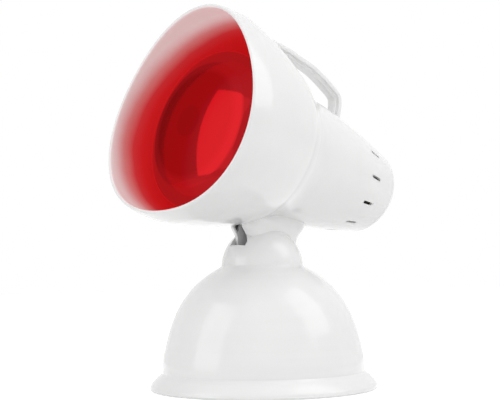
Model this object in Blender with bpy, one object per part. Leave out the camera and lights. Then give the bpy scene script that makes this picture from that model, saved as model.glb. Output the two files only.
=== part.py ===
"""Infrared heat therapy lamp: a weighted dome base, a tilting head and a reflector heat bulb.

Units are metres, +Z is up and the lamp faces -Y. The origin is the centre of the base on the table.
The head is modelled level about its hinge and is then leaned back by its rest tilt.
"""
import math

import bmesh
import bpy
from mathutils import Matrix, Vector

MM = 0.001

# Clearances
SEAT_GAP = 0.3 * MM
HOLE_GAP = 0.3 * MM

# Base: a flared foot ring, an elliptical dome and a ball on top
FOOT_RADIUS = 66.7 * MM
FOOT_FLARE = 7.2 * MM
FOOT_HEIGHT = 9.6 * MM
# The foot's outline: share of the flare, share of the height
FOOT_OUTLINE = ((0.95, 0.0), (1.0, 0.05), (0.985, 0.17), (0.93, 0.28), (0.68, 0.53), (0.40, 0.74),
                (0.14, 0.89), (0.0, 1.0))
DOME_RADIUS = FOOT_RADIUS - FOOT_FLARE
DOME_HEIGHT = 64.0 * MM
DOME_FOOT_Z = 12.8 * MM
BALL_RADIUS = 24.0 * MM
HINGE_Z = 70.8 * MM
POLE_ANGLE = 82.0
SEAM_FILLET_ANGLE = 6.0
BASE_WALL = 2.4 * MM
FOOT_STEP_Z = 5.3 * MM
FOOT_STEP_RADIUS = DOME_RADIUS + 1.5 * MM
BASE_PLATE_THICKNESS = 2.4 * MM
PAD_RADIUS = 40.0 * MM
PAD_THICKNESS = 2.0 * MM
POST_COUNT = 4
POST_CIRCLE = DOME_RADIUS - 12.5 * MM
POST_RADIUS = 4.2 * MM
POST_DEPTH = 14.0 * MM
BALLAST_RADIUS = 36.0 * MM
BALLAST_BORE = 9.0 * MM
BALLAST_HEIGHT = 13.0 * MM
BALLAST_SCREW_CIRCLE = 26.0 * MM

# Tilt joint: tongue plates of the head turn between the cheeks of the base
REST_TILT = 14.4
TILT_FORWARD = 5.0
TILT_BACK = 25.0
NOTCH_FRONT_ANGLE = 32.0
NOTCH_REAR_ANGLE = 7.5
NOTCH_HALF_WIDTH = 6.6 * MM
CHEEK_THICKNESS = 2.4 * MM
CHEEK_RADIUS = 20.6 * MM
TONGUE_INNER_X = 4.0 * MM
TONGUE_THICKNESS = 1.6 * MM
HUB_RADIUS = 11.0 * MM
BALL_CLEARANCE = 0.45 * MM
BOLT_RADIUS = 2.5 * MM
BOLT_HEAD_RADIUS = 4.6 * MM
BOLT_HEAD_THICKNESS = 3.4 * MM
NUT_ACROSS_CORNERS = 9.2 * MM
NUT_THICKNESS = 4.0 * MM
SPRING_WASHER_THICKNESS = 1.2 * MM
WASHER_RADIUS = 9.0 * MM
SLEEVE_WALL = 1.8 * MM

# Head: placed from the hinge along its level axes
CREASE_FORWARD = 9.1 * MM
AXIS_HEIGHT = 69.0 * MM
CREASE_RADIUS = 39.8 * MM
HOOD_LENGTH = 73.0 * MM
HOOD_BELLY_RADIUS = 63.5 * MM
HOOD_MOUTH_RADIUS = 62.0 * MM
HOOD_LOBE = 0.044
HOOD_SHARES = (0.0, 0.06, 0.13, 0.22, 0.34, 0.48, 0.65, 0.82, 0.985)
HOOD_WALL = 2.0 * MM
HOOD_FLANGE_THICKNESS = 2.2 * MM
HOOD_FLANGE_BORE = 28.5 * MM
BARREL_LENGTH = 96.8 * MM
BARREL_SHOULDER_RADIUS = 27.0 * MM
BARREL_WALL = 2.0 * MM
NECK_WALL = 1.8 * MM
NECK_HALF_WIDTH = 11.8 * MM
NECK_SQUARENESS = 3.0
# The neck's rings in millimetres: height above the hinge, middle forward of it, half length
NECK_RINGS = ((10.5, 0.8, 15.2), (12.4, 1.6, 16.9), (14.2, 2.2, 18.4), (16.0, 2.6, 20.0), (18.1, 3.0, 22.0),
              (21.0, 3.8, 22.4), (25.0, 3.9, 23.4), (29.7, 2.7, 24.4), (38.0, 1.5, 25.4))
VENT_COUNT = 12
VENT_LENGTH = 7.5 * MM
VENT_WIDTH = 1.7 * MM
HOOD_SCREW_COUNT = 3
HOOD_SCREW_CIRCLE = 33.2 * MM
HOOD_BOSS_RADIUS = 3.8 * MM
HOOD_BOSS_LENGTH = 16.0 * MM

# Carrying handle: a strap in the middle plane from the hood to the barrel
HANDLE_WIDTH = 10.0 * MM
HANDLE_THICKNESS = 3.6 * MM
HANDLE_HEIGHT = HOOD_BELLY_RADIUS + 1.7 * MM
HANDLE_REACH = 48.9 * MM
HANDLE_FRONT = 51.0 * MM
HANDLE_GROOVE_WIDTH = 5.4 * MM
HANDLE_GROOVE_DEPTH = 1.1 * MM
HANDLE_SCREW_RADIUS = 1.3 * MM

# Heat bulb and its holder, on an axis a little below the hood's
BULB_DROP = 3.0 * MM
BULB_RADIUS = 47.5 * MM
BULB_LENGTH = 138.0 * MM
BULB_FACE_FORWARD = 69.0 * MM
BULB_FACE_ROUND = 100.0 * MM
GLASS_WALL = 1.2 * MM
CAP_RADIUS = 13.1 * MM
CAP_LENGTH = 24.0 * MM
CAP_WALL = 0.6 * MM
INSULATOR_LENGTH = 3.4 * MM
CONTACT_RADIUS = 4.6 * MM
CONTACT_LENGTH = 2.4 * MM
HOLDER_RADIUS = 17.5 * MM
HOLDER_FOOT_RADIUS = 15.4 * MM
HOLDER_LENGTH = 38.0 * MM
HOLDER_FLOOR = 9.0 * MM
SHELL_WALL = 0.6 * MM
HOLDER_PLATE_THICKNESS = 1.2 * MM
HOLDER_SCREW_SPREAD = 19.2 * MM

# Rocker switch and cord inlet at the back of the base
SWITCH_Z = 37.8 * MM
SWITCH_WIDTH = 13.0 * MM
SWITCH_HEIGHT = 19.0 * MM
SWITCH_DEPTH = 17.0 * MM
SWITCH_BEZEL = 1.2 * MM
SWITCH_BEZEL_THICKNESS = 1.6 * MM
SWITCH_SEAT_MARGIN = 3.2 * MM
SWITCH_SEAT_RISE = 1.6 * MM
ROCKER_TRAVEL = 14.0
ROCKER_PIVOT_RADIUS = 1.6 * MM
INLET_Z = 17.8 * MM
INLET_RADIUS = 4.2 * MM
GROMMET_FLANGE_RADIUS = 5.6 * MM
GROMMET_BORE = 3.2 * MM
TERMINAL_PITCH = 5.0 * MM
TERMINAL_HEIGHT = 11.0 * MM
LEAD_RADIUS = 2.0 * MM
LEAD_END_GAP = 1.4 * MM

# Machine screws
SCREW_RADIUS = 1.5 * MM
SCREW_HEAD_RADIUS = 2.9 * MM
SCREW_HEAD_HEIGHT = 1.8 * MM

# Facets
ROUND_STEPS = 48
MEDIUM_STEPS = 32
SMALL_STEPS = 16
SCREW_STEPS = 12

WHITE = (0.83, 0.83, 0.82)
STEEL = (0.55, 0.56, 0.58)


def clear_scene():
    for obj in list(bpy.data.objects):
        bpy.data.objects.remove(obj, do_unlink=True)


def material(name, colour, roughness, metallic=0.0):
    mat = bpy.data.materials.get(name) or bpy.data.materials.new(name)
    mat.use_nodes = True
    shader = mat.node_tree.nodes["Principled BSDF"]
    shader.inputs["Base Color"].default_value = (*colour, 1.0)
    shader.inputs["Roughness"].default_value = roughness
    shader.inputs["Metallic"].default_value = metallic
    return mat


def make_object(name, bm, matrix=None):
    """Turn a bmesh into an object, with its faces pointing out."""
    if matrix is not None:
        bm.transform(matrix)
    bmesh.ops.recalc_face_normals(bm, faces=bm.faces)
    mesh = bpy.data.meshes.new(name)
    bm.to_mesh(mesh)
    bm.free()
    obj = bpy.data.objects.new(name, mesh)
    bpy.context.scene.collection.objects.link(obj)
    return obj


def finish(obj, mat, parent=None, smooth_angle=35.0):
    """Give an object its material, its smooth shading and its parent."""
    obj.data.materials.clear()
    obj.data.materials.append(mat)
    obj.data.shade_smooth()
    obj.data.set_sharp_from_angle(angle=math.radians(smooth_angle))
    if parent is not None:
        obj.parent = parent
    return obj


def apply_modifiers(obj):
    graph = bpy.context.evaluated_depsgraph_get()
    mesh = bpy.data.meshes.new_from_object(obj.evaluated_get(graph))
    obj.modifiers.clear()
    old = obj.data
    obj.data = mesh
    bpy.data.meshes.remove(old)


def combine(target, tool, operation):
    """Join or cut the target with a tool, and delete the tool."""
    mod = target.modifiers.new(operation.lower(), "BOOLEAN")
    mod.operation = operation
    mod.solver = "EXACT"
    mod.object = tool
    apply_modifiers(target)
    bpy.data.objects.remove(tool, do_unlink=True)


def join(target, tool):
    combine(target, tool, "UNION")


def cut(target, tool):
    combine(target, tool, "DIFFERENCE")


def bevel_edges(obj, width, segments=2, angle=40.0):
    mod = obj.modifiers.new("rounded edges", "BEVEL")
    mod.width = width
    mod.segments = segments
    mod.limit_method = "ANGLE"
    mod.angle_limit = math.radians(angle)
    apply_modifiers(obj)


def revolve(name, profile, steps=ROUND_STEPS, matrix=None, inside=None, turn=0.0):
    """Turn a profile of (radius, height) points about Z, and skin it with its inside profile."""
    bm = bmesh.new()
    skins = []
    for points in (profile, inside):
        if points is None:
            continue
        rings = turned_rings(bm, points, steps, turn)
        for low, high in zip(rings, rings[1:]):
            skin_rings(bm, low, high)
        skins.append(rings)
    last, first = skins[-1][-1], skins[0][0]
    if len(last) > 1 and len(first) > 1 and not (flat_start(profile) or flat_end(profile)):
        skin_rings(bm, last, first)
    return make_object(name, bm, matrix)


def flat_start(profile):
    return profile[0][0] < 1e-7 and abs(profile[0][1] - profile[1][1]) < 1e-7


def flat_end(profile):
    return profile[-1][0] < 1e-7 and abs(profile[-1][1] - profile[-2][1]) < 1e-7


def turned_rings(bm, profile, steps, turn):
    """One ring for each point. A pole in the plane of its neighbour becomes one flat face."""
    start = 1 if flat_start(profile) else 0
    end = len(profile) - 1 if flat_end(profile) else len(profile)
    rings = []
    for radius, height in profile[start:end]:
        if radius < 1e-7:
            rings.append([bm.verts.new((0.0, 0.0, height))])
            continue
        ring_verts = []
        for step in range(steps):
            angle = 2.0 * math.pi * (step + turn) / steps
            place = (radius * math.cos(angle), radius * math.sin(angle), height)
            ring_verts.append(bm.verts.new(place))
        rings.append(ring_verts)
    if start:
        bm.faces.new(list(reversed(rings[0])))
    if end < len(profile):
        bm.faces.new(rings[-1])
    return rings


def skin_rings(bm, low, high):
    """Faces between two rings, either of which may be a single pole."""
    count = max(len(low), len(high))
    for i in range(count):
        j = (i + 1) % count
        if len(low) == 1:
            bm.faces.new((low[0], high[j], high[i]))
        elif len(high) == 1:
            bm.faces.new((low[i], low[j], high[0]))
        else:
            bm.faces.new((low[i], low[j], high[j], high[i]))


def prism(name, outline, low, high, matrix=None):
    """Extrude an outline of (x, y) points from height low to height high."""
    bm = bmesh.new()
    bottom = [bm.verts.new((x, y, low)) for x, y in outline]
    top = [bm.verts.new((x, y, high)) for x, y in outline]
    bm.faces.new(list(reversed(bottom)))
    bm.faces.new(top)
    for i in range(len(outline)):
        j = (i + 1) % len(outline)
        bm.faces.new((bottom[i], bottom[j], top[j], top[i]))
    return make_object(name, bm, matrix)


def box(name, low, high, matrix=None):
    outline = [(low[0], low[1]), (high[0], low[1]), (high[0], high[1]), (low[0], high[1])]
    return prism(name, outline, low[2], high[2], matrix)


def rod(name, radius, low, high, steps=SMALL_STEPS, matrix=None):
    profile = [(0.0, low), (radius, low), (radius, high), (0.0, high)]
    return revolve(name, profile, steps, matrix, turn=0.5)


def ring(name, inner, outer, low, high, steps=SMALL_STEPS, matrix=None):
    profile = [(inner, low), (outer, low), (outer, high), (inner, high)]
    return revolve(name, profile, steps, matrix)


def arc(centre, radii, start, end, count):
    """Points of an elliptical arc, with angles in degrees from the first axis."""
    points = []
    for step in range(count + 1):
        angle = math.radians(start + (end - start) * step / count)
        points.append((centre[0] + radii[0] * math.cos(angle), centre[1] + radii[1] * math.sin(angle)))
    return points


def curve_through(points, count):
    """A smooth curve through the points, with count steps between each two."""
    result = []
    last = len(points) - 1
    for i in range(last):
        before, here = Vector(points[max(i - 1, 0)]), Vector(points[i])
        there, after = Vector(points[i + 1]), Vector(points[min(i + 2, last)])
        for step in range(count):
            t = step / count
            result.append(0.5 * (2 * here + (there - before) * t
                                 + (2 * before - 5 * here + 4 * there - after) * t ** 2
                                 + (3 * here - before - 3 * there + after) * t ** 3))
    result.append(Vector(points[-1]))
    return [tuple(point) for point in result]


def tube(name, route, radius, sides=8):
    """A round cord along a smooth route, closed at both ends."""
    curve = bpy.data.curves.new(name, "CURVE")
    curve.dimensions = "3D"
    curve.bevel_depth = radius
    curve.bevel_resolution = sides // 4
    curve.use_fill_caps = True
    spline = curve.splines.new("POLY")
    spline.points.add(len(route) - 1)
    for point, place in zip(spline.points, route):
        point.co = (*place, 1.0)
    holder = bpy.data.objects.new(name + " route", curve)
    bpy.context.scene.collection.objects.link(holder)
    graph = bpy.context.evaluated_depsgraph_get()
    mesh = bpy.data.meshes.new_from_object(holder.evaluated_get(graph))
    bpy.data.objects.remove(holder, do_unlink=True)
    bpy.data.curves.remove(curve)
    bm = bmesh.new()
    bm.from_mesh(mesh)
    bpy.data.meshes.remove(mesh)
    bmesh.ops.remove_doubles(bm, verts=bm.verts, dist=1e-6)
    return make_object(name, bm)


def screw(name, length, mat, parent, place, direction):
    """A pan head screw: its shank runs from the place along the direction."""
    profile = [(0.0, -SCREW_HEAD_HEIGHT), (0.7 * SCREW_HEAD_RADIUS, -SCREW_HEAD_HEIGHT),
               (SCREW_HEAD_RADIUS, -0.55 * SCREW_HEAD_HEIGHT), (SCREW_HEAD_RADIUS, 0.0),
               (SCREW_RADIUS, 0.0), (SCREW_RADIUS, length - SCREW_RADIUS), (0.0, length)]
    obj = revolve(name, profile, SCREW_STEPS)
    recess = box("recess", (-0.3 * MM, -1.9 * MM, -1.2 * SCREW_HEAD_HEIGHT),
                 (0.3 * MM, 1.9 * MM, -0.5 * SCREW_HEAD_HEIGHT))
    cut(obj, recess)
    obj.location = place
    obj.rotation_euler = Vector(direction).to_track_quat("Z", "Y").to_euler()
    return finish(obj, mat, parent)


def hood_radius(share):
    """Radius of the bell along the hood, from 0 at the crease to 1 at the mouth."""
    belly_share = 0.82
    rise = ((0.0, 0.0), (0.15, 0.35), (0.35, 0.62), (0.6, 0.87), (belly_share, 1.0))
    if share >= belly_share:
        t = (share - belly_share) / (1.0 - belly_share)
        return HOOD_BELLY_RADIUS + (HOOD_MOUTH_RADIUS - HOOD_BELLY_RADIUS) * t * t
    path = curve_through(rise, 8)
    for (a, p), (b, q) in zip(path, path[1:]):
        if a <= share <= b:
            grown = p + (q - p) * (share - a) / (b - a)
            return CREASE_RADIUS + (HOOD_BELLY_RADIUS - CREASE_RADIUS) * grown
    return HOOD_BELLY_RADIUS


def barrel_radius(back):
    """Radius of the rear housing at a distance behind the crease."""
    shoulder = 0.85 * BARREL_LENGTH
    drop = CREASE_RADIUS - BARREL_SHOULDER_RADIUS
    if back <= shoulder:
        return CREASE_RADIUS - drop * (back / shoulder) ** 1.6
    share = min((back - shoulder) / (BARREL_LENGTH - shoulder), 1.0)
    return BARREL_SHOULDER_RADIUS * (1.0 - share ** 1.7) ** (1.0 / 1.7)


def lobed_ring(bm, radius, share, forward):
    """A ring of the hood: round at the crease and a soft triangle, point up, at the mouth."""
    verts = []
    for step in range(ROUND_STEPS):
        angle = 2.0 * math.pi * step / ROUND_STEPS
        lobed = radius * (1.0 + HOOD_LOBE * share * math.cos(3.0 * angle))
        verts.append(bm.verts.new((lobed * math.sin(angle), lobed * math.cos(angle), forward)))
    return verts


def hood_skin(bm, shares, inset, swell=0.0):
    return [lobed_ring(bm, hood_radius(s) - inset + swell, s, s * HOOD_LENGTH) for s in shares]


def lamp_frame(drop=0.0):
    """From the lamp axis frame (x, up, forward) at the crease to the head frame at the hinge."""
    place = Matrix.Translation((0.0, -CREASE_FORWARD, AXIS_HEIGHT - drop))
    return place @ Matrix.Rotation(math.radians(90.0), 4, "X")


def side_frame():
    """From a side view (forward, up, across) to the head frame at the hinge."""
    return Matrix(((0, 0, 1, 0), (-1, 0, 0, 0), (0, 1, 0, 0), (0, 0, 0, 1)))


def build_base_shell(mat):
    outer = [(FOOT_STEP_RADIUS, 0.0)]
    outer += [(DOME_RADIUS + FOOT_FLARE * out, FOOT_HEIGHT * up) for out, up in FOOT_OUTLINE]
    seam_angle = math.degrees(math.acos(BALL_RADIUS / DOME_RADIUS))
    outer += arc((0.0, DOME_FOOT_Z), (DOME_RADIUS, DOME_HEIGHT), 0.0, seam_angle, 9)
    seam_z = outer[-1][1] - HINGE_Z
    ball_start = math.degrees(math.asin(seam_z / BALL_RADIUS)) + SEAM_FILLET_ANGLE
    outer += arc((0.0, HINGE_Z), (BALL_RADIUS, BALL_RADIUS), ball_start, POLE_ANGLE, 7)
    outer.append((0.0, HINGE_Z + BALL_RADIUS))
    inner_ball = BALL_RADIUS - BASE_WALL
    inner_dome = (DOME_RADIUS - BASE_WALL, DOME_HEIGHT - BASE_WALL)
    inner = [(0.0, HINGE_Z + inner_ball)]
    inner += arc((0.0, HINGE_Z), (inner_ball, inner_ball), POLE_ANGLE, 0.0, 5)
    inner_seam = math.degrees(math.acos(inner_ball / inner_dome[0]))
    inner += arc((0.0, DOME_FOOT_Z), inner_dome, inner_seam, 0.0, 7)
    inner += [(inner_dome[0], FOOT_STEP_Z), (FOOT_STEP_RADIUS, FOOT_STEP_Z)]
    shell = revolve("base_shell", outer, ROUND_STEPS, inside=inner)
    hinge = Matrix.Translation((0.0, 0.0, HINGE_Z))
    cheek_outer = NOTCH_HALF_WIDTH + CHEEK_THICKNESS
    join(shell, rod("cheeks", CHEEK_RADIUS, -cheek_outer, cheek_outer, MEDIUM_STEPS, hinge @ side_frame()))
    cut(shell, ball_slot(hinge @ side_frame()))
    cut(shell, rod("bolt hole", BOLT_RADIUS + HOLE_GAP, -cheek_outer - MM, cheek_outer + MM,
                   SMALL_STEPS, hinge @ side_frame()))
    for x, y in post_places():
        place = Matrix.Translation((x, y, 0.0))
        post = rod("post", POST_RADIUS, FOOT_STEP_Z, HINGE_Z, SMALL_STEPS, place)
        combine(post, dome_form(0.5 * BASE_WALL), "INTERSECT")
        join(shell, post)
        cut(shell, rod("pilot", SCREW_RADIUS + HOLE_GAP, 0.0, FOOT_STEP_Z + POST_DEPTH,
                       SCREW_STEPS, place))
    add_switch_seat(shell)
    inlet = Matrix.Translation((0.0, DOME_RADIUS, INLET_Z)) @ Matrix.Rotation(math.radians(-90.0), 4, "X")
    cut(shell, rod("inlet", INLET_RADIUS, -4 * BASE_WALL, 4 * BASE_WALL, SMALL_STEPS, inlet))
    return finish(shell, mat)


def dome_form(inset):
    """The dome as a solid, drawn in by an inset, for trimming what joins its wall."""
    radii = (DOME_RADIUS - inset, DOME_HEIGHT - inset)
    profile = [(0.0, 0.0), (radii[0], 0.0)] + arc((0.0, DOME_FOOT_Z), radii, 0.0, POLE_ANGLE, 8)
    return revolve("dome form", profile + [(0.0, DOME_FOOT_Z + radii[1])], ROUND_STEPS)


def ball_slot(matrix):
    """The slot through the top of the ball, and the space between the cheeks under it."""
    reach = 1.4 * BALL_RADIUS
    room = CHEEK_RADIUS - 1.2 * MM
    floor = 1.3 * BALL_RADIUS
    front, rear = NOTCH_FRONT_ANGLE, 180.0 - NOTCH_REAR_ANGLE
    outline = arc((0.0, 0.0), (reach, reach), front, rear, 14)
    outline += arc((0.0, 0.0), (room, room), rear, 186.0, 2)
    outline += [(-CHEEK_RADIUS - 0.4 * MM, -2.0 * MM), (-CHEEK_RADIUS - 0.4 * MM, -floor)]
    outline += [(CHEEK_RADIUS + 0.4 * MM, -floor), (CHEEK_RADIUS + 0.4 * MM, -2.0 * MM)]
    outline += arc((0.0, 0.0), (room, room), -6.0, front, 4)
    return prism("slot", outline, -NOTCH_HALF_WIDTH, NOTCH_HALF_WIDTH, matrix)


def post_places():
    places = []
    for i in range(POST_COUNT):
        angle = math.radians(45.0 + 360.0 * i / POST_COUNT)
        places.append((POST_CIRCLE * math.cos(angle), POST_CIRCLE * math.sin(angle)))
    return places


def switch_frame():
    """The switch's seat on the dome: x across, y up the slope and z out of the surface."""
    angle = math.asin((SWITCH_Z - DOME_FOOT_Z) / DOME_HEIGHT)
    place = Vector((0.0, DOME_RADIUS * math.cos(angle), SWITCH_Z))
    normal = Vector((0.0, math.cos(angle) / DOME_RADIUS, math.sin(angle) / DOME_HEIGHT)).normalized()
    across = Vector((-1.0, 0.0, 0.0))
    slope = normal.cross(across)
    frame = Matrix((across, slope, normal)).transposed().to_4x4()
    return Matrix.Translation(place) @ frame


def rounded_rectangle(width, height, radius, steps=4):
    points = []
    for cx, cy, start in ((1, 1, 0), (-1, 1, 90), (-1, -1, 180), (1, -1, 270)):
        centre = (cx * (width / 2 - radius), cy * (height / 2 - radius))
        points += arc(centre, (radius, radius), start, start + 90, steps)
    return points


def add_switch_seat(shell):
    """A flat raised seat on the dome with an opening for the rocker switch."""
    frame = switch_frame()
    seat_width = SWITCH_WIDTH + 2 * SWITCH_SEAT_MARGIN
    seat_height = SWITCH_HEIGHT + 2 * SWITCH_SEAT_MARGIN
    outline = rounded_rectangle(seat_width, seat_height, SWITCH_SEAT_MARGIN)
    join(shell, prism("seat", outline, -4.0 * MM, SWITCH_SEAT_RISE, frame))
    opening = rounded_rectangle(SWITCH_WIDTH + 2 * HOLE_GAP, SWITCH_HEIGHT + 2 * HOLE_GAP, 1.0 * MM, 2)
    cut(shell, prism("opening", opening, -10.0 * MM, 10.0 * MM, frame))


def build_base_plate(mat):
    top = FOOT_STEP_Z - SEAT_GAP
    low = top - BASE_PLATE_THICKNESS
    edge = FOOT_STEP_RADIUS - SEAT_GAP
    plate = revolve("base_plate", [(0.0, low), (edge, low), (edge, top), (0.0, top)])
    for x, y in post_places():
        place = Matrix.Translation((x, y, 0.0))
        cut(plate, rod("hole", SCREW_RADIUS + HOLE_GAP, 0.0, 2 * top, SCREW_STEPS, place))
    for x in (-BALLAST_SCREW_CIRCLE, BALLAST_SCREW_CIRCLE):
        place = Matrix.Translation((x, 0.0, 0.0))
        cut(plate, rod("hole", SCREW_RADIUS + HOLE_GAP, 0.0, 2 * top, SCREW_STEPS, place))
    return finish(plate, mat)


def build_pad(mat):
    """The anti-slip pad under the base plate, flush with the foot ring."""
    top = FOOT_STEP_Z - 2 * SEAT_GAP - BASE_PLATE_THICKNESS
    profile = [(0.0, 0.0), (PAD_RADIUS, 0.0), (PAD_RADIUS + 0.4 * MM, 0.5 * MM),
               (PAD_RADIUS + 0.4 * MM, top), (0.0, top)]
    pad = revolve("anti_slip_pad", profile, MEDIUM_STEPS)
    for x in (-BALLAST_SCREW_CIRCLE, BALLAST_SCREW_CIRCLE):
        place = Matrix.Translation((x, 0.0, 0.0))
        cut(pad, rod("hole", SCREW_HEAD_RADIUS + 2 * HOLE_GAP, -MM, 2 * top, SMALL_STEPS, place))
    return finish(pad, mat)


def build_ballast(mat):
    low = FOOT_STEP_Z + SEAT_GAP
    high = low + BALLAST_HEIGHT
    edge = 1.5 * MM
    profile = [(BALLAST_BORE, low), (BALLAST_RADIUS - edge, low), (BALLAST_RADIUS, low + edge),
               (BALLAST_RADIUS, high - edge), (BALLAST_RADIUS - edge, high), (BALLAST_BORE, high)]
    ballast = revolve("ballast_weight", profile, MEDIUM_STEPS)
    for x in (-BALLAST_SCREW_CIRCLE, BALLAST_SCREW_CIRCLE):
        place = Matrix.Translation((x, 0.0, 0.0))
        cut(ballast, rod("thread", SCREW_RADIUS + HOLE_GAP, 0.0, low + 9.0 * MM, SCREW_STEPS, place))
    return finish(ballast, mat)


def build_base_screws(mat):
    top = FOOT_STEP_Z - SEAT_GAP - BASE_PLATE_THICKNESS - SEAT_GAP
    for i, (x, y) in enumerate(post_places()):
        screw("base_screw_%d" % (i + 1), 12.0 * MM, mat, None, (x, y, top), (0, 0, 1))
    for i, x in enumerate((-BALLAST_SCREW_CIRCLE, BALLAST_SCREW_CIRCLE)):
        screw("ballast_screw_%d" % (i + 1), 9.0 * MM, mat, None, (x, 0.0, top), (0, 0, 1))


def terminal_low():
    return FOOT_STEP_Z + 2 * SEAT_GAP + BALLAST_HEIGHT


def build_terminal_block(plastic, metal):
    """A two-way terminal block on the ballast, with a screw for each way."""
    low = terminal_low()
    middle = 0.5 * (BALLAST_BORE + BALLAST_RADIUS)
    block = box("terminal_block", (-9.0 * MM, middle - 5.0 * MM, low),
                (9.0 * MM, middle + 5.0 * MM, low + 7.0 * MM))
    for side in (-1, 1):
        tower = box("tower", (side * TERMINAL_PITCH - 3.2 * MM, middle - 4.0 * MM, low + 3.0 * MM),
                    (side * TERMINAL_PITCH + 3.2 * MM, middle + 4.0 * MM, low + TERMINAL_HEIGHT))
        join(block, tower)
    bevel_edges(block, 0.4 * MM, 1, 60.0)
    for side in (-1, 1):
        place = Matrix.Translation((side * TERMINAL_PITCH, middle, low))
        cut(block, rod("well", SCREW_RADIUS + HOLE_GAP, 4.0 * MM, 12.0 * MM, SCREW_STEPS, place))
        terminal = rod("terminal_screw_%d" % (1.5 + 0.5 * side), SCREW_RADIUS,
                       4.0 * MM + SEAT_GAP, 9.5 * MM, SCREW_STEPS)
        terminal.location = (side * TERMINAL_PITCH, middle, low)
        finish(terminal, metal)
    return finish(block, plastic)


def build_grommet(mat):
    """The rubber bush of the cord inlet at the back of the base."""
    outside = 0.9 * MM
    inside = -BASE_WALL - 1.7 * MM
    profile = [(GROMMET_BORE, inside - 1.2 * MM), (GROMMET_FLANGE_RADIUS - 0.5 * MM, inside - 1.2 * MM),
               (GROMMET_FLANGE_RADIUS, inside), (INLET_RADIUS - HOLE_GAP, inside),
               (INLET_RADIUS - HOLE_GAP, outside), (GROMMET_FLANGE_RADIUS, outside),
               (GROMMET_FLANGE_RADIUS - 0.5 * MM, outside + 1.2 * MM), (GROMMET_BORE, outside + 1.2 * MM)]
    grommet = revolve("cord_grommet", profile, SMALL_STEPS)
    grommet.location = (0.0, DOME_RADIUS, INLET_Z)
    grommet.rotation_euler = (math.radians(-90.0), 0.0, 0.0)
    return finish(grommet, mat)


def build_switch(body_mat, rocker_mat):
    """The rocker switch: a snap-in body with a bezel and a rocker on a cross pin."""
    frame = switch_frame()
    bezel_low = SWITCH_SEAT_RISE + SEAT_GAP
    bezel_high = bezel_low + SWITCH_BEZEL_THICKNESS
    body = prism("switch_body", rounded_rectangle(SWITCH_WIDTH, SWITCH_HEIGHT, 0.8 * MM, 2),
                 bezel_low - SWITCH_DEPTH, bezel_high)
    rim = rounded_rectangle(SWITCH_WIDTH + 2 * SWITCH_BEZEL, SWITCH_HEIGHT + 2 * SWITCH_BEZEL, 1.6 * MM)
    join(body, prism("bezel", rim, bezel_low, bezel_high))
    wall = 0.9 * MM
    well = rounded_rectangle(SWITCH_WIDTH - 2 * wall, SWITCH_HEIGHT - 2 * wall, 0.5 * MM, 2)
    well_depth = 8.0 * MM
    cut(body, prism("well", well, bezel_high - well_depth, bezel_high + MM))
    body.matrix_world = frame
    finish(body, body_mat)
    width = 0.5 * SWITCH_WIDTH - wall - SEAT_GAP
    pivot = rocker_pivot_height()
    crown = bezel_high + 0.4 * MM - pivot
    sweep = 0.5 * SWITCH_HEIGHT - wall - SEAT_GAP
    raised = math.degrees(math.asin(crown / sweep)) + ROCKER_TRAVEL
    flat = 180.0 - math.degrees(math.asin(crown / sweep))
    profile = [(0.0, crown)] + arc((0.0, 0.0), (sweep, sweep), raised, 0.5 * ROCKER_TRAVEL, 3)
    profile += [(2.4 * MM, -ROCKER_PIVOT_RADIUS), (-2.4 * MM, -ROCKER_PIVOT_RADIUS)]
    profile += arc((0.0, 0.0), (sweep, sweep), 180.0 - 0.5 * ROCKER_TRAVEL, flat, 2)
    rocker = prism("switch_rocker", profile, -width, width,
                   Matrix(((0, 0, 1, 0), (1, 0, 0, 0), (0, 1, 0, 0), (0, 0, 0, 1))))
    bevel_edges(rocker, 0.35 * MM, 2, 30.0)
    rocker.matrix_world = frame @ Matrix.Translation((0.0, 0.0, pivot))
    return finish(rocker, rocker_mat)


def rocker_pivot_height():
    return SWITCH_SEAT_RISE + SEAT_GAP + SWITCH_BEZEL_THICKNESS - 3.0 * MM


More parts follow.
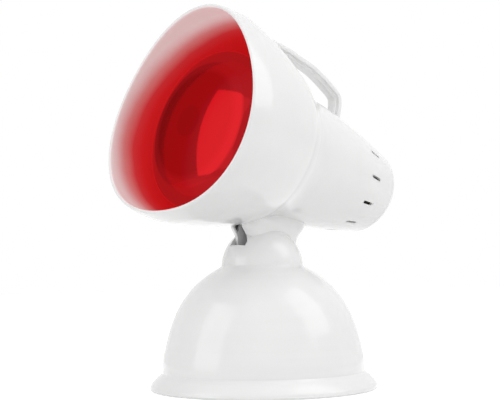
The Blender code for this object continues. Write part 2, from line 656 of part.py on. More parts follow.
def build_hinge(steel, nylon):
    """The tilt bolt with its nut, spring washer, friction washers and spacer sleeve."""
    cheek_outer = NOTCH_HALF_WIDTH + CHEEK_THICKNESS
    across = Matrix.Rotation(math.radians(90.0), 4, "Y")
    centre = (0.0, 0.0, HINGE_Z)
    nut_low = cheek_outer + SEAT_GAP + SPRING_WASHER_THICKNESS + SEAT_GAP
    shank_end = nut_low + NUT_THICKNESS + 1.2 * MM
    head_high = -(cheek_outer + SEAT_GAP)
    head_low = head_high - BOLT_HEAD_THICKNESS
    profile = [(0.0, head_low), (0.8 * BOLT_HEAD_RADIUS, head_low),
               (BOLT_HEAD_RADIUS, head_low + 0.8 * MM), (BOLT_HEAD_RADIUS, head_high),
               (BOLT_RADIUS, head_high), (BOLT_RADIUS, shank_end - 0.6 * MM),
               (BOLT_RADIUS - 0.5 * MM, shank_end), (0.0, shank_end)]
    bolt = revolve("tilt_bolt", profile, SMALL_STEPS, across)
    hexagon = [(1.5 * MM * math.cos(math.radians(60 * i)), 1.5 * MM * math.sin(math.radians(60 * i)))
               for i in range(6)]
    cut(bolt, prism("socket", hexagon, head_low - MM, head_low + 2.0 * MM, across))
    pieces = [(bolt, steel)]
    nut_outline = arc((0.0, 0.0), (0.5 * NUT_ACROSS_CORNERS,) * 2, 0.0, 300.0, 5)
    nut = prism("tilt_nut", nut_outline, nut_low, nut_low + NUT_THICKNESS, across)
    cut(nut, rod("thread", BOLT_RADIUS + HOLE_GAP, 0.0, 2 * nut_low, SMALL_STEPS, across))
    pieces.append((nut, steel))
    washer_low = cheek_outer + SEAT_GAP
    pieces.append((ring("spring_washer", BOLT_RADIUS + HOLE_GAP, NUT_ACROSS_CORNERS / 2,
                        washer_low, washer_low + SPRING_WASHER_THICKNESS, SMALL_STEPS, across), steel))
    tongue_outer = TONGUE_INNER_X + TONGUE_THICKNESS
    for side, word in ((-1, "left"), (1, "right")):
        low, high = sorted((side * (tongue_outer + SEAT_GAP), side * (NOTCH_HALF_WIDTH - SEAT_GAP)))
        washer = ring("friction_washer_" + word, BOLT_RADIUS + HOLE_GAP, WASHER_RADIUS,
                      low, high, MEDIUM_STEPS, across)
        pieces.append((washer, nylon))
    sleeve_half = TONGUE_INNER_X - SEAT_GAP
    inner = BOLT_RADIUS + HOLE_GAP
    pieces.append((ring("spacer_sleeve", inner, inner + SLEEVE_WALL, -sleeve_half, sleeve_half,
                        SMALL_STEPS, across), steel))
    for piece, mat in pieces:
        piece.location = centre
        finish(piece, mat)


def build_leads(lead_mat, head):
    """The sleeved leads: from the terminals to the hinge, to the switch, and on in the head."""
    low = terminal_low() + TERMINAL_HEIGHT
    middle = 0.5 * (BALLAST_BORE + BALLAST_RADIUS)
    beside_sleeve = BOLT_RADIUS + HOLE_GAP + SLEEVE_WALL + LEAD_RADIUS + LEAD_END_GAP
    route = [(-TERMINAL_PITCH, middle, low + LEAD_END_GAP), (-TERMINAL_PITCH, middle, low + 7.0 * MM),
             (-1.0 * MM, 2.0 * MM, HINGE_Z - 18.0 * MM),
             (0.0, -beside_sleeve, HINGE_Z - 6.0 * MM), (0.0, -beside_sleeve, HINGE_Z)]
    finish(tube("base_lead", curve_through(route, 3), LEAD_RADIUS), lead_mat)
    frame = switch_frame()
    back = SWITCH_SEAT_RISE - SWITCH_DEPTH
    route = [tuple(frame @ Vector((0.0, 0.0, back - LEAD_END_GAP))),
             tuple(frame @ Vector((0.0, 0.0, back - 6.0 * MM))),
             (3.0 * MM, middle + 2.0 * MM, low + 6.0 * MM),
             (TERMINAL_PITCH, middle, low + LEAD_END_GAP)]
    finish(tube("switch_lead", curve_through(route, 3), LEAD_RADIUS), lead_mat)
    up = AXIS_HEIGHT - BULB_DROP
    start = math.radians(TILT_FORWARD + 8.0 - REST_TILT)
    route = [(beside_sleeve * math.cos(start), beside_sleeve * math.sin(start)),
             (0.95 * beside_sleeve, 5.0 * MM), (4.0 * MM, 13.0 * MM), (-2.0 * MM, 23.0 * MM),
             (-2.6 * MM, 32.0 * MM), (-6.0 * MM, 37.0 * MM), (-26.0 * MM, up - 27.2 * MM),
             (holder_middle() + 3.0 * MM, up - HOLDER_RADIUS - 7.0 * MM),
             (holder_middle(), up - HOLDER_RADIUS - 4.0 * MM),
             (holder_middle(), up - HOLDER_RADIUS - 1.5 * SEAT_GAP)]
    places = [(0.0, -forward, height) for forward, height in route]
    return finish(tube("head_lead", curve_through(places, 3), LEAD_RADIUS), lead_mat, head)


def bulb_tip():
    """The bulb's end contact, forward of the crease (negative is behind it)."""
    return BULB_FACE_FORWARD - BULB_LENGTH


def holder_rear():
    return bulb_tip() - HOLDER_FLOOR - 1.6 * MM


def holder_middle():
    """The holder's middle, forward of the hinge."""
    return CREASE_FORWARD + holder_rear() + 0.5 * HOLDER_LENGTH


def build_rear_housing(mat, head):
    """The barrel with its rounded end and vents, the flared neck and the tongue plates."""
    lamp = lamp_frame()
    shoulder = 0.85 * BARREL_LENGTH
    stations = [BARREL_LENGTH * s for s in (0.0, 0.14, 0.32, 0.5, 0.68)]
    stations += [shoulder + (BARREL_LENGTH - shoulder) * s for s in (0.0, 0.3, 0.6, 0.84, 0.96)]
    outer = [(0.0, MM), (CREASE_RADIUS, MM)]
    outer += [(barrel_radius(back), -back) for back in stations]
    outer.append((0.0, -BARREL_LENGTH))
    housing = revolve("rear_housing", outer, ROUND_STEPS, lamp)
    join(housing, flared_neck())
    join(housing, tongue())
    squeeze = (BARREL_LENGTH - BARREL_WALL) / BARREL_LENGTH
    inner = [(0.0, 2 * MM), (CREASE_RADIUS - BARREL_WALL, 2 * MM)]
    inner += [(barrel_radius(back) - BARREL_WALL, -back * squeeze) for back in stations
              if barrel_radius(back) > 3 * BARREL_WALL]
    inner.append((0.0, -BARREL_LENGTH + BARREL_WALL))
    cut(housing, revolve("cavity", inner, ROUND_STEPS, lamp))
    cut(housing, hood_form(lamp))
    cut(housing, tongue_gap())
    add_hood_bosses(housing, lamp)
    add_holder_columns(housing)
    cut_vents(housing, lamp)
    place = lamp @ Matrix.Translation((0.0, 0.0, -handle_foot_back()))
    bore = place @ Matrix.Rotation(math.radians(-90.0), 4, "X")
    cut(housing, rod("handle bore", HANDLE_SCREW_RADIUS + HOLE_GAP,
                     barrel_radius(handle_foot_back()) - 3 * BARREL_WALL,
                     barrel_radius(handle_foot_back()) + BARREL_WALL, SCREW_STEPS, bore))
    return finish(housing, mat, head)


def neck_loft(name, inset, reach=0.0):
    """The neck as a solid: a long rounded oblong at each height, drawn in by an inset."""
    bm = bmesh.new()
    rings = []
    for i, (height, middle, half_length) in enumerate(NECK_RINGS):
        beyond = reach if i == len(NECK_RINGS) - 1 else -reach if i == 0 else 0.0
        verts = []
        for step in range(MEDIUM_STEPS):
            angle = 2.0 * math.pi * (step + 0.5) / MEDIUM_STEPS
            across, along = math.cos(angle), math.sin(angle)
            x = (NECK_HALF_WIDTH - inset) * math.copysign(abs(across) ** (2 / NECK_SQUARENESS), across)
            y = (half_length * MM - inset) * math.copysign(abs(along) ** (2 / NECK_SQUARENESS), along)
            verts.append(bm.verts.new((x, y - middle * MM, height * MM + beyond)))
        rings.append(verts)
    for low, high in zip(rings, rings[1:]):
        skin_rings(bm, low, high)
    bmesh.ops.triangulate(bm, faces=bm.faces)
    bm.faces.new(rings[0])
    bm.faces.new(list(reversed(rings[-1])))
    return make_object(name, bm)


def flared_neck():
    """The hollow neck, cut to sit on the ball."""
    neck = neck_loft("neck", 0.0)
    cut(neck, neck_loft("neck cavity", NECK_WALL, MM))
    reach = BALL_RADIUS + BALL_CLEARANCE
    ball = [(0.0, -reach)] + arc((0.0, 0.0), (reach, reach), -POLE_ANGLE, POLE_ANGLE, 14) + [(0.0, reach)]
    cut(neck, revolve("ball", ball, ROUND_STEPS))
    return neck


def side_prism(name, half_width, outline):
    return prism(name, outline, -half_width, half_width, side_frame())


def tongue():
    """The tongue from the neck through the ball's slot to a round hub, before it is split."""
    front = math.radians(NOTCH_FRONT_ANGLE + TILT_FORWARD + 1.0 - REST_TILT)
    rear = math.radians(180.0 - (NOTCH_REAR_ANGLE + TILT_BACK + 1.5 + REST_TILT))
    low, high = CHEEK_RADIUS - 2.0 * MM, BALL_RADIUS + 1.2 * MM
    top = AXIS_HEIGHT - CREASE_RADIUS + 0.5 * BARREL_WALL
    outline = arc((0.0, 0.0), (HUB_RADIUS, HUB_RADIUS), 180.0, 360.0, 12)
    outline += [(low * math.cos(front), low * math.sin(front)),
                (18.1 * MM, 8.9 * MM), (19.0 * MM, 11.6 * MM), (20.0 * MM, 14.5 * MM),
                (17.5 * MM, top), (-12.0 * MM, top),
                (high * math.cos(rear), high * math.sin(rear)),
                (low * math.cos(rear), low * math.sin(rear))]
    tongue_half = TONGUE_INNER_X + TONGUE_THICKNESS
    piece = side_prism("tongue", tongue_half, outline)
    cut(piece, rod("bolt hole", BOLT_RADIUS + HOLE_GAP, -2 * tongue_half, 2 * tongue_half,
                   SMALL_STEPS, side_frame()))
    return piece


def tongue_gap():
    """The gap that splits the tongue in two plates, with the neck's front slot and a lead hole."""
    under, floor = -HUB_RADIUS - 2.0 * MM, AXIS_HEIGHT - CREASE_RADIUS - 1.0 * MM
    behind, ahead = -14.0 * MM, 40.0 * MM
    hood_side = CREASE_FORWARD + 0.3 * MM
    outline = [(behind, under), (26.0 * MM, under), (ahead, 2.0 * MM), (ahead, floor + 6.0 * MM),
               (hood_side, floor + 6.0 * MM), (hood_side, floor), (3.0 * MM, floor),
               (3.0 * MM, floor + 8.0 * MM), (-8.0 * MM, floor + 8.0 * MM), (-8.0 * MM, floor),
               (-12.3 * MM, floor), (-12.3 * MM, 18.6 * MM), (behind - 2.3 * MM, 18.1 * MM),
               (behind, 15.5 * MM)]
    return side_prism("tongue gap", TONGUE_INNER_X, outline)


def hood_form(matrix):
    """The hood's outer form with the seat gap, as a solid to cut with."""
    bm = bmesh.new()
    rings = [lobed_ring(bm, CREASE_RADIUS + MM, 0.0, -0.5 * SEAT_GAP)]
    rings += hood_skin(bm, HOOD_SHARES[1:], 0.0, 1.5 * SEAT_GAP)
    for low, high in zip(rings, rings[1:]):
        skin_rings(bm, low, high)
    bm.faces.new(rings[0])
    bm.faces.new(list(reversed(rings[-1])))
    return make_object("hood form", bm, matrix)


def boss_angles():
    return [math.radians(360.0 * i / HOOD_SCREW_COUNT) for i in range(HOOD_SCREW_COUNT)]


def add_hood_bosses(housing, lamp):
    """Screw bosses on the barrel's inner wall that the hood's flange is fixed to."""
    for angle in boss_angles():
        spot = Matrix.Translation((HOOD_SCREW_CIRCLE * math.sin(angle),
                                   HOOD_SCREW_CIRCLE * math.cos(angle), 0.0))
        join(housing, rod("boss", HOOD_BOSS_RADIUS, -HOOD_BOSS_LENGTH, -0.5 * SEAT_GAP,
                          SMALL_STEPS, lamp @ spot))
        cut(housing, rod("pilot", SCREW_RADIUS + HOLE_GAP, -HOOD_BOSS_LENGTH + 2.0 * MM, MM,
                         SCREW_STEPS, lamp @ spot))


def column_places():
    return [(side * HOLDER_SCREW_SPREAD, -BULB_DROP) for side in (-1, 1)]


def add_holder_columns(housing):
    """Two columns from the barrel's end that carry the lamp holder's plate."""
    front = holder_rear() - 2 * SEAT_GAP - HOLDER_PLATE_THICKNESS
    for x, up in column_places():
        spot = lamp_frame() @ Matrix.Translation((x, up, 0.0))
        join(housing, rod("column", 3.4 * MM, -BARREL_LENGTH + 5.5 * MM, front, SMALL_STEPS, spot))
        cut(housing, rod("pilot", SCREW_RADIUS + HOLE_GAP, front - 5.0 * MM, front + MM,
                         SCREW_STEPS, spot))


def vent_angles():
    return [math.radians(15.0 + 360.0 * i / VENT_COUNT) for i in range(VENT_COUNT)]


def vent_back():
    return 0.80 * BARREL_LENGTH


def cut_vents(housing, lamp):
    """A ring of narrow air slots near the barrel's rounded end."""
    back = vent_back()
    outline = rounded_rectangle(VENT_WIDTH, VENT_LENGTH, 0.48 * VENT_WIDTH, 1)
    radius = barrel_radius(back)
    for angle in vent_angles():
        turn = Matrix.Rotation(-angle, 4, "Z") @ Matrix.Translation((0.0, 0.0, -back))
        face = turn @ Matrix.Rotation(math.radians(-90.0), 4, "X")
        cut(housing, prism("vent", outline, radius - 5 * BARREL_WALL, radius + 4 * BARREL_WALL,
                           lamp @ face))


def build_hood(mat, head):
    """The bell-shaped hood: a soft triangle at the mouth, with a screwed flange at the back."""
    lamp = lamp_frame()
    bm = bmesh.new()
    outer = hood_skin(bm, HOOD_SHARES, 0.0)
    rim_outer = lobed_ring(bm, HOOD_MOUTH_RADIUS - 0.3 * HOOD_WALL, 1.0, HOOD_LENGTH)
    rim_inner = lobed_ring(bm, HOOD_MOUTH_RADIUS - 0.7 * HOOD_WALL, 1.0, HOOD_LENGTH)
    inner_shares = [0.985, 0.82, 0.6, 0.4, 0.25, 0.15, 0.08]
    inner = hood_skin(bm, inner_shares, HOOD_WALL)
    flange_front = 0.5 * SEAT_GAP + HOOD_FLANGE_THICKNESS
    corner = lobed_ring(bm, CREASE_RADIUS - 0.5 * HOOD_WALL, 0.0, flange_front)
    bore_front = lobed_ring(bm, HOOD_FLANGE_BORE, 0.0, flange_front)
    bore_back = lobed_ring(bm, HOOD_FLANGE_BORE, 0.0, 0.5 * SEAT_GAP)
    for vert in outer[0]:
        vert.co.z = 0.5 * SEAT_GAP
    rings = outer + [rim_outer, rim_inner] + inner + [corner, bore_front, bore_back]
    for low, high in zip(rings, rings[1:] + rings[:1]):
        skin_rings(bm, low, high)
    hood = make_object("hood", bm, lamp)
    for angle in boss_angles():
        spot = Matrix.Translation((HOOD_SCREW_CIRCLE * math.sin(angle),
                                   HOOD_SCREW_CIRCLE * math.cos(angle), 0.0))
        cut(hood, rod("hole", SCREW_RADIUS + HOLE_GAP, -MM, 3 * flange_front, SCREW_STEPS, lamp @ spot))
    return finish(hood, mat, head)


def build_hood_screws(mat, head):
    flange_front = 0.5 * SEAT_GAP + HOOD_FLANGE_THICKNESS + SEAT_GAP
    for i, angle in enumerate(boss_angles()):
        place = lamp_frame() @ Vector((HOOD_SCREW_CIRCLE * math.sin(angle),
                                       HOOD_SCREW_CIRCLE * math.cos(angle), flange_front))
        screw("hood_screw_%d" % (i + 1), 11.0 * MM, mat, head, place, (0, 1, 0))


def handle_foot_back():
    return HANDLE_REACH - 0.5 * HANDLE_THICKNESS - 1.0 * MM


def handle_line():
    """The handle's outer line (forward, up) from its front foot over the top to the barrel."""
    top, reach = HANDLE_HEIGHT, HANDLE_REACH
    points = [(HANDLE_FRONT, top), (0.6 * HANDLE_FRONT, top), (0.10 * reach, top),
              (-0.12 * reach, top - 1.0 * MM), (-0.46 * reach, top - 3.1 * MM),
              (-0.80 * reach, top - 8.6 * MM), (-0.95 * reach, top - 12.6 * MM),
              (-0.995 * reach, top - 18.0 * MM), (-reach, top - 24.0 * MM),
              (-reach, barrel_radius(reach) - MM)]
    return curve_through(points, 3)


def offset_line(line, distance):
    """The line moved sideways towards the lamp's axis."""
    moved = []
    for i, point in enumerate(line):
        before, after = Vector(line[max(i - 1, 0)]), Vector(line[min(i + 1, len(line) - 1)])
        along = (after - before).normalized()
        moved.append(Vector(point) + distance * Vector((-along.y, along.x)))
    return [tuple(point) for point in moved]


def build_handle(mat, head):
    """A strap with a groove along its underside, seated on the hood and on the barrel."""
    lamp = lamp_frame()
    across = lamp @ Matrix(((0, 0, 1, 0), (0, 1, 0, 0), (1, 0, 0, 0), (0, 0, 0, 1)))
    line = handle_line()
    inner = offset_line(line, HANDLE_THICKNESS)
    half = 0.5 * HANDLE_WIDTH
    handle = prism("carry_handle", line + list(reversed(inner)), -half, half, across)
    bevel_edges(handle, 0.8 * MM, 2, 50.0)
    groove_top = offset_line(line, HANDLE_THICKNESS - HANDLE_GROOVE_DEPTH)
    groove_low = offset_line(line, HANDLE_THICKNESS + 3 * HANDLE_GROOVE_DEPTH)
    groove = prism("groove", groove_top[8:-4] + list(reversed(groove_low[8:-4])),
                   -0.5 * HANDLE_GROOVE_WIDTH, 0.5 * HANDLE_GROOVE_WIDTH, across)
    cut(handle, groove)
    cut(handle, hood_form(lamp))
    barrel = [(0.0, 0.0)]
    barrel += [(barrel_radius(s * BARREL_LENGTH) + SEAT_GAP, -s * BARREL_LENGTH)
               for s in (0.0, 0.2, 0.35, 0.45, 0.55, 0.65)]
    barrel.append((0.0, -0.65 * BARREL_LENGTH))
    cut(handle, revolve("barrel form", barrel, ROUND_STEPS, lamp))
    bore = lamp @ Matrix.Translation((0.0, 0.0, -handle_foot_back())) \
        @ Matrix.Rotation(math.radians(-90.0), 4, "X")
    foot = barrel_radius(handle_foot_back())
    cut(handle, rod("rear thread", HANDLE_SCREW_RADIUS + HOLE_GAP, foot - 4.0 * MM, foot + 6.0 * MM,
                    SCREW_STEPS, bore))
    return finish(handle, mat, head)


def build_handle_screw(mat, head):
    """The screw from inside the barrel into the handle's rear foot."""
    frame = lamp_frame() @ Matrix.Translation((0.0, 0.0, -handle_foot_back())) \
        @ Matrix.Rotation(math.radians(-90.0), 4, "X")
    seat = barrel_radius(handle_foot_back()) - BARREL_WALL
    head_low = seat - SEAT_GAP - 0.6 * MM
    profile = [(0.0, head_low - 1.4 * MM), (1.6 * MM, head_low - 1.4 * MM),
               (2.4 * MM, head_low - 0.8 * MM), (2.4 * MM, head_low),
               (HANDLE_SCREW_RADIUS, head_low), (HANDLE_SCREW_RADIUS, head_low + 4.6 * MM),
               (0.0, head_low + 5.4 * MM)]
    return finish(revolve("handle_screw", profile, SCREW_STEPS, frame), mat, head)


def build_holder(ceramic, brass, steel, head):
    """The E27 lamp holder on its plate, with its threaded shell and centre contact."""
    axis = lamp_frame(BULB_DROP)
    rear = holder_rear()
    front = rear + HOLDER_LENGTH
    bore = CAP_RADIUS + SEAT_GAP + SHELL_WALL + SEAT_GAP
    floor = rear + HOLDER_FLOOR
    profile = [(0.0, rear), (HOLDER_FOOT_RADIUS - MM, rear), (HOLDER_FOOT_RADIUS, rear + MM),
               (HOLDER_FOOT_RADIUS, rear + 8.0 * MM), (HOLDER_RADIUS, rear + 11.0 * MM),
               (HOLDER_RADIUS, front - 0.8 * MM), (HOLDER_RADIUS - 0.8 * MM, front),
               (bore, front), (bore, floor), (0.0, floor)]
    finish(revolve("lamp_holder", profile, MEDIUM_STEPS, axis), ceramic, head)
    shell_low = floor + SEAT_GAP
    shell_high = front - 4.0 * MM
    shell = ring("holder_shell", CAP_RADIUS + SEAT_GAP, CAP_RADIUS + SEAT_GAP + SHELL_WALL,
                 shell_low, shell_high, MEDIUM_STEPS, axis)
    finish(shell, brass, head)
    tip = bulb_tip() - SEAT_GAP
    spring = [(floor + SEAT_GAP, -6.0 * MM), (floor + SEAT_GAP + 0.5 * MM, -6.0 * MM),
              (tip, -1.0 * MM), (tip, 3.0 * MM), (tip - 0.5 * MM, 3.0 * MM),
              (tip - 0.5 * MM, -0.6 * MM), (floor + SEAT_GAP, -5.2 * MM)]
    frame = axis @ Matrix(((0, 0, 1, 0), (0, 1, 0, 0), (1, 0, 0, 0), (0, 0, 0, 1)))
    contact = prism("holder_contact", spring, -2.2 * MM, 2.2 * MM, frame)
    finish(contact, brass, head)
    plate_low = rear - SEAT_GAP - HOLDER_PLATE_THICKNESS
    wide = HOLDER_SCREW_SPREAD + 3.4 * MM
    plate = prism("holder_plate", rounded_rectangle(2 * wide, 13.0 * MM, 5.0 * MM),
                  plate_low, plate_low + HOLDER_PLATE_THICKNESS, axis)
    for side in (-1, 1):
        spot = axis @ Matrix.Translation((side * HOLDER_SCREW_SPREAD, 0.0, 0.0))
        cut(plate, rod("hole", SCREW_RADIUS + HOLE_GAP, plate_low - MM, plate_low + 3 * MM,
                       SCREW_STEPS, spot))
        place = axis @ Vector((side * HOLDER_SCREW_SPREAD, 0.0,
                               plate_low + HOLDER_PLATE_THICKNESS + SEAT_GAP))
        screw("holder_screw_%d" % (1.5 + 0.5 * side), 6.0 * MM, steel, head, place, (0, 1, 0))
    finish(plate, steel, head)


def bulb_profile(wall):
    """The reflector bulb's outline (radius, forward), from its face to its neck."""
    face = BULB_FACE_FORWARD
    edge = 0.9 * BULB_RADIUS
    drop = BULB_FACE_ROUND - math.sqrt(BULB_FACE_ROUND ** 2 - edge ** 2)
    points = [(0.0, face - wall)]
    for step in range(1, 4):
        radius = edge * step / 3
        sag = BULB_FACE_ROUND - math.sqrt(BULB_FACE_ROUND ** 2 - radius ** 2)
        points.append((radius - 0.15 * wall, face - sag - wall))
    shoulder = [(0.975, drop + 3.0 * MM), (1.0, drop + 7.0 * MM), (0.985, drop + 12.0 * MM)]
    points += [(BULB_RADIUS * r - wall, face - a) for r, a in shoulder]
    body = [(0.95, 0.20), (0.842, 0.283), (0.60, 0.42), (0.41, 0.55), (0.326, 0.68)]
    points += [(BULB_RADIUS * r - wall, face - a * BULB_LENGTH) for r, a in body]
    return points


def build_bulb(glass, metal, black, tungsten, head):
    """The reflector heat bulb: glass, cap, insulator, contact, stem and filament."""
    axis = lamp_frame(BULB_DROP)
    tip = bulb_tip()
    cap_rear = tip + CONTACT_LENGTH + INSULATOR_LENGTH
    cap_front = cap_rear + CAP_LENGTH
    neck = CAP_RADIUS - CAP_WALL - SEAT_GAP
    outer = bulb_profile(0.0) + [(1.16 * CAP_RADIUS, cap_front + 5.0 * MM),
                                 (neck, cap_front + SEAT_GAP), (neck, cap_front - 7.0 * MM)]
    inner = [(neck - GLASS_WALL, cap_front - 7.0 * MM), (neck - GLASS_WALL, cap_front + 1.0 * MM),
             (1.16 * CAP_RADIUS - GLASS_WALL, cap_front + 5.0 * MM)]
    inner += list(reversed(bulb_profile(GLASS_WALL)))
    finish(revolve("bulb_glass", outer + inner, 36, axis), glass, head)
    cap = [(CAP_RADIUS - CAP_WALL, cap_front), (CAP_RADIUS, cap_front), (CAP_RADIUS, cap_rear + 2.0 * MM),
           (0.8 * CAP_RADIUS, cap_rear), (0.55 * CAP_RADIUS, cap_rear),
           (0.55 * CAP_RADIUS, cap_rear + CAP_WALL), (0.78 * CAP_RADIUS, cap_rear + CAP_WALL),
           (CAP_RADIUS - CAP_WALL, cap_rear + 2.2 * MM)]
    finish(revolve("bulb_cap", cap, MEDIUM_STEPS, axis), metal, head)
    high = cap_rear - SEAT_GAP
    low = tip + CONTACT_LENGTH
    insulator = [(0.0, low), (CONTACT_RADIUS + 0.8 * MM, low), (0.72 * CAP_RADIUS, high), (0.0, high)]
    finish(revolve("bulb_insulator", insulator, MEDIUM_STEPS, axis), black, head)
    contact = [(0.0, tip), (0.7 * CONTACT_RADIUS, tip), (CONTACT_RADIUS, tip + 0.8 * MM),
               (CONTACT_RADIUS, low - SEAT_GAP), (0.0, low - SEAT_GAP)]
    finish(revolve("bulb_contact", contact, SMALL_STEPS, axis), metal, head)
    stem_rear = cap_front - 5.0 * MM
    stem_front = stem_rear + 30.0 * MM
    stem = [(0.0, stem_rear + 1.5 * MM), (neck - GLASS_WALL - SEAT_GAP - 1.2 * MM, stem_rear),
            (neck - GLASS_WALL - SEAT_GAP, stem_rear + 1.0 * MM), (3.4 * MM, stem_rear + 8.0 * MM),
            (2.8 * MM, stem_front - 3.0 * MM), (2.2 * MM, stem_front), (0.0, stem_front)]
    finish(revolve("bulb_stem", stem, SMALL_STEPS, axis), glass, head)
    loop = 11.0 * MM
    start = stem_front + SEAT_GAP
    middle = start + 20.0 * MM
    route = [(-1.4 * MM, 0.0, start), (-2.0 * MM, 0.0, start + 6.0 * MM), (-0.8 * loop, -2.0 * MM, middle)]
    route += [(-loop * math.cos(math.radians(a)), -2.0 * MM - loop * math.sin(math.radians(a)), middle)
              for a in range(20, 180, 20)]
    route += [(0.8 * loop, -2.0 * MM, middle), (2.0 * MM, 0.0, start + 6.0 * MM), (1.4 * MM, 0.0, start)]
    filament = tube("bulb_filament", curve_through(route, 1), 0.35 * MM, 4)
    filament.data.transform(axis)
    finish(filament, tungsten, head)


def main():
    clear_scene()
    white = material("white gloss plastic", WHITE, 0.25)
    steel = material("zinc plated steel", STEEL, 0.35, 1.0)
    brass = material("brass", (0.72, 0.55, 0.28), 0.3, 1.0)
    aluminium = material("aluminium", (0.75, 0.75, 0.76), 0.3, 1.0)
    iron = material("cast iron", (0.12, 0.12, 0.13), 0.7, 0.8)
    rubber = material("grey rubber", (0.08, 0.08, 0.08), 0.8)
    black = material("black plastic", (0.03, 0.03, 0.03), 0.4)
    nylon = material("natural nylon", (0.75, 0.73, 0.66), 0.5)
    ceramic = material("glazed ceramic", (0.85, 0.84, 0.80), 0.3)
    red_glass = material("ruby glass", (0.45, 0.01, 0.015), 0.08)
    tungsten = material("tungsten wire", (0.35, 0.34, 0.33), 0.4, 1.0)
    lead = material("silicone sleeve", (0.16, 0.16, 0.17), 0.6)

    head = bpy.data.objects.new("head frame", None)
    head.location = (0.0, 0.0, HINGE_Z)
    head.rotation_euler = (math.radians(-REST_TILT), 0.0, 0.0)
    bpy.context.scene.collection.objects.link(head)

    build_base_shell(white)
    build_base_plate(white)
    build_pad(rubber)
    build_ballast(iron)
    build_base_screws(steel)
    build_terminal_block(ceramic, brass)
    build_grommet(rubber)
    build_switch(black, black)
    build_hinge(steel, nylon)
    build_rear_housing(white, head)
    build_hood(white, head)
    build_hood_screws(steel, head)
    build_handle(white, head)
    build_handle_screw(steel, head)
    build_holder(ceramic, brass, steel, head)
    build_bulb(red_glass, aluminium, black, tungsten, head)
    build_leads(lead, head)
    bpy.context.view_layer.update()


main()
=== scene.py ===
import math

import bmesh
import bpy
from mathutils import Matrix, Vector


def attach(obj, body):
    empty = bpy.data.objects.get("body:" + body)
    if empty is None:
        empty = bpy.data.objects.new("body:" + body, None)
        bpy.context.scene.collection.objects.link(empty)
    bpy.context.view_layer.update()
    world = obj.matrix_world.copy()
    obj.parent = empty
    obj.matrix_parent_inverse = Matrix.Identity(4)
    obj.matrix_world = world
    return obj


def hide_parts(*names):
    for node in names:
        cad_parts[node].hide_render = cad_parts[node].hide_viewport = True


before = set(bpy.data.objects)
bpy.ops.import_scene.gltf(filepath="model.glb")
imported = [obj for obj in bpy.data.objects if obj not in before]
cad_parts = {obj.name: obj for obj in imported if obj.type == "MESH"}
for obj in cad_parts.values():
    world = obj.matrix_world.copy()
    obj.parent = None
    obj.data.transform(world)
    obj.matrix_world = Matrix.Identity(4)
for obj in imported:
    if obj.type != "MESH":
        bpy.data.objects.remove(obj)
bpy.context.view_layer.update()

MM = 0.001
STEPS = 160
ON_AXIS = 1e-7

# Base
FOOT_FLARE = 7.2 * MM
FOOT_HEIGHT = 9.6 * MM
# The foot's outline: share of the flare, share of the height
FOOT_OUTLINE = ((0.95, 0.0), (1.0, 0.05), (0.985, 0.17), (0.93, 0.28), (0.68, 0.53), (0.40, 0.74),
                (0.14, 0.89), (0.0, 1.0))
DOME_RADIUS = 59.5 * MM
# How the dome's wall departs from an ellipse: height in millimetres, share of the ellipse's radius
DOME_EASE = ((9.0, 1.008), (13.0, 1.005), (16.0, 1.002), (20.0, 0.994), (24.0, 0.986), (30.0, 0.981),
             (38.0, 0.981), (45.0, 0.987), (52.0, 0.993), (58.0, 0.994), (63.0, 0.988), (66.5, 0.980),
             (70.5, 0.968), (73.0, 0.962))
DOME_HEIGHT = 64.0 * MM
DOME_FOOT_Z = 12.8 * MM
BALL_RADIUS = 24.0 * MM
HINGE_Z = 70.8 * MM
# Where dome and ball meet: degrees from their seam to the wall's end, to the fillet's middle and to
# the ball's start, and how far the fillet's middle lies out and up
WALL_END_BEFORE = 2.0
FILLET_BEFORE = 0.5
BALL_START_AFTER = 1.8
FILLET_OUT = 0.18 * MM
FILLET_UP = 0.13 * MM
BASE_WALL = 2.4 * MM
FOOT_STEP_Z = 5.3 * MM
FOOT_STEP_RADIUS = 61.0 * MM
NOTCH_FRONT_ANGLE = 32.0
NOTCH_REAR_ANGLE = 7.5
NOTCH_HALF_WIDTH = 6.6 * MM
CHEEK_THICKNESS = 2.4 * MM
CHEEK_RADIUS = 20.6 * MM
SWITCH_Z = 37.8 * MM
SEAT_SIZE = (19.4 * MM, 25.4 * MM)
SEAT_CORNER = 3.2 * MM
SEAT_RISE = 1.6 * MM
OPENING_SIZE = (13.6 * MM, 19.6 * MM)
OPENING_CORNER = 1.0 * MM
INLET_Z = 17.8 * MM
INLET_RADIUS = 4.2 * MM
BASE_EDGE = 0.35 * MM

# Head
REST_TILT = 14.4
TILT_FORWARD = 5.0
TILT_BACK = 25.0
TONGUE_INNER_X = 4.0 * MM
TONGUE_THICKNESS = 1.6 * MM
TONGUE_ROOT_HALF = 6.3 * MM
TONGUE_ROOT_INNER = 21.2 * MM
TONGUE_ROOT_OUTER = 26.0 * MM
HUB_RADIUS = 11.0 * MM
BALL_CLEARANCE = 0.03 * MM
CREASE_FORWARD = 9.1 * MM
AXIS_HEIGHT = 69.0 * MM
CREASE_RADIUS = 39.8 * MM
CREASE_BLEND = 8.0 * MM
CREASE_LIFT = 1.2 * MM
HOOD_LENGTH = 73.0 * MM
HOOD_BELLY_RADIUS = 63.5 * MM
HOOD_MOUTH_RADIUS = 62.0 * MM
HOOD_LOBE = 0.044
HOOD_WALL = 2.0 * MM
HOOD_LIP = 0.15 * MM
HOOD_FLANGE_BORE = 28.5 * MM
HOOD_FLANGE_FRONT = 2.4 * MM
HOOD_BELLY_SHARE = 0.82
HOOD_RIM_SHARE = 0.985
# How the hood swells: share of its length, share of the way from the crease's radius to the belly's
HOOD_RISE = ((0.0, 0.0), (0.15, 0.35), (0.35, 0.62), (0.6, 0.87), (HOOD_BELLY_SHARE, 1.0))
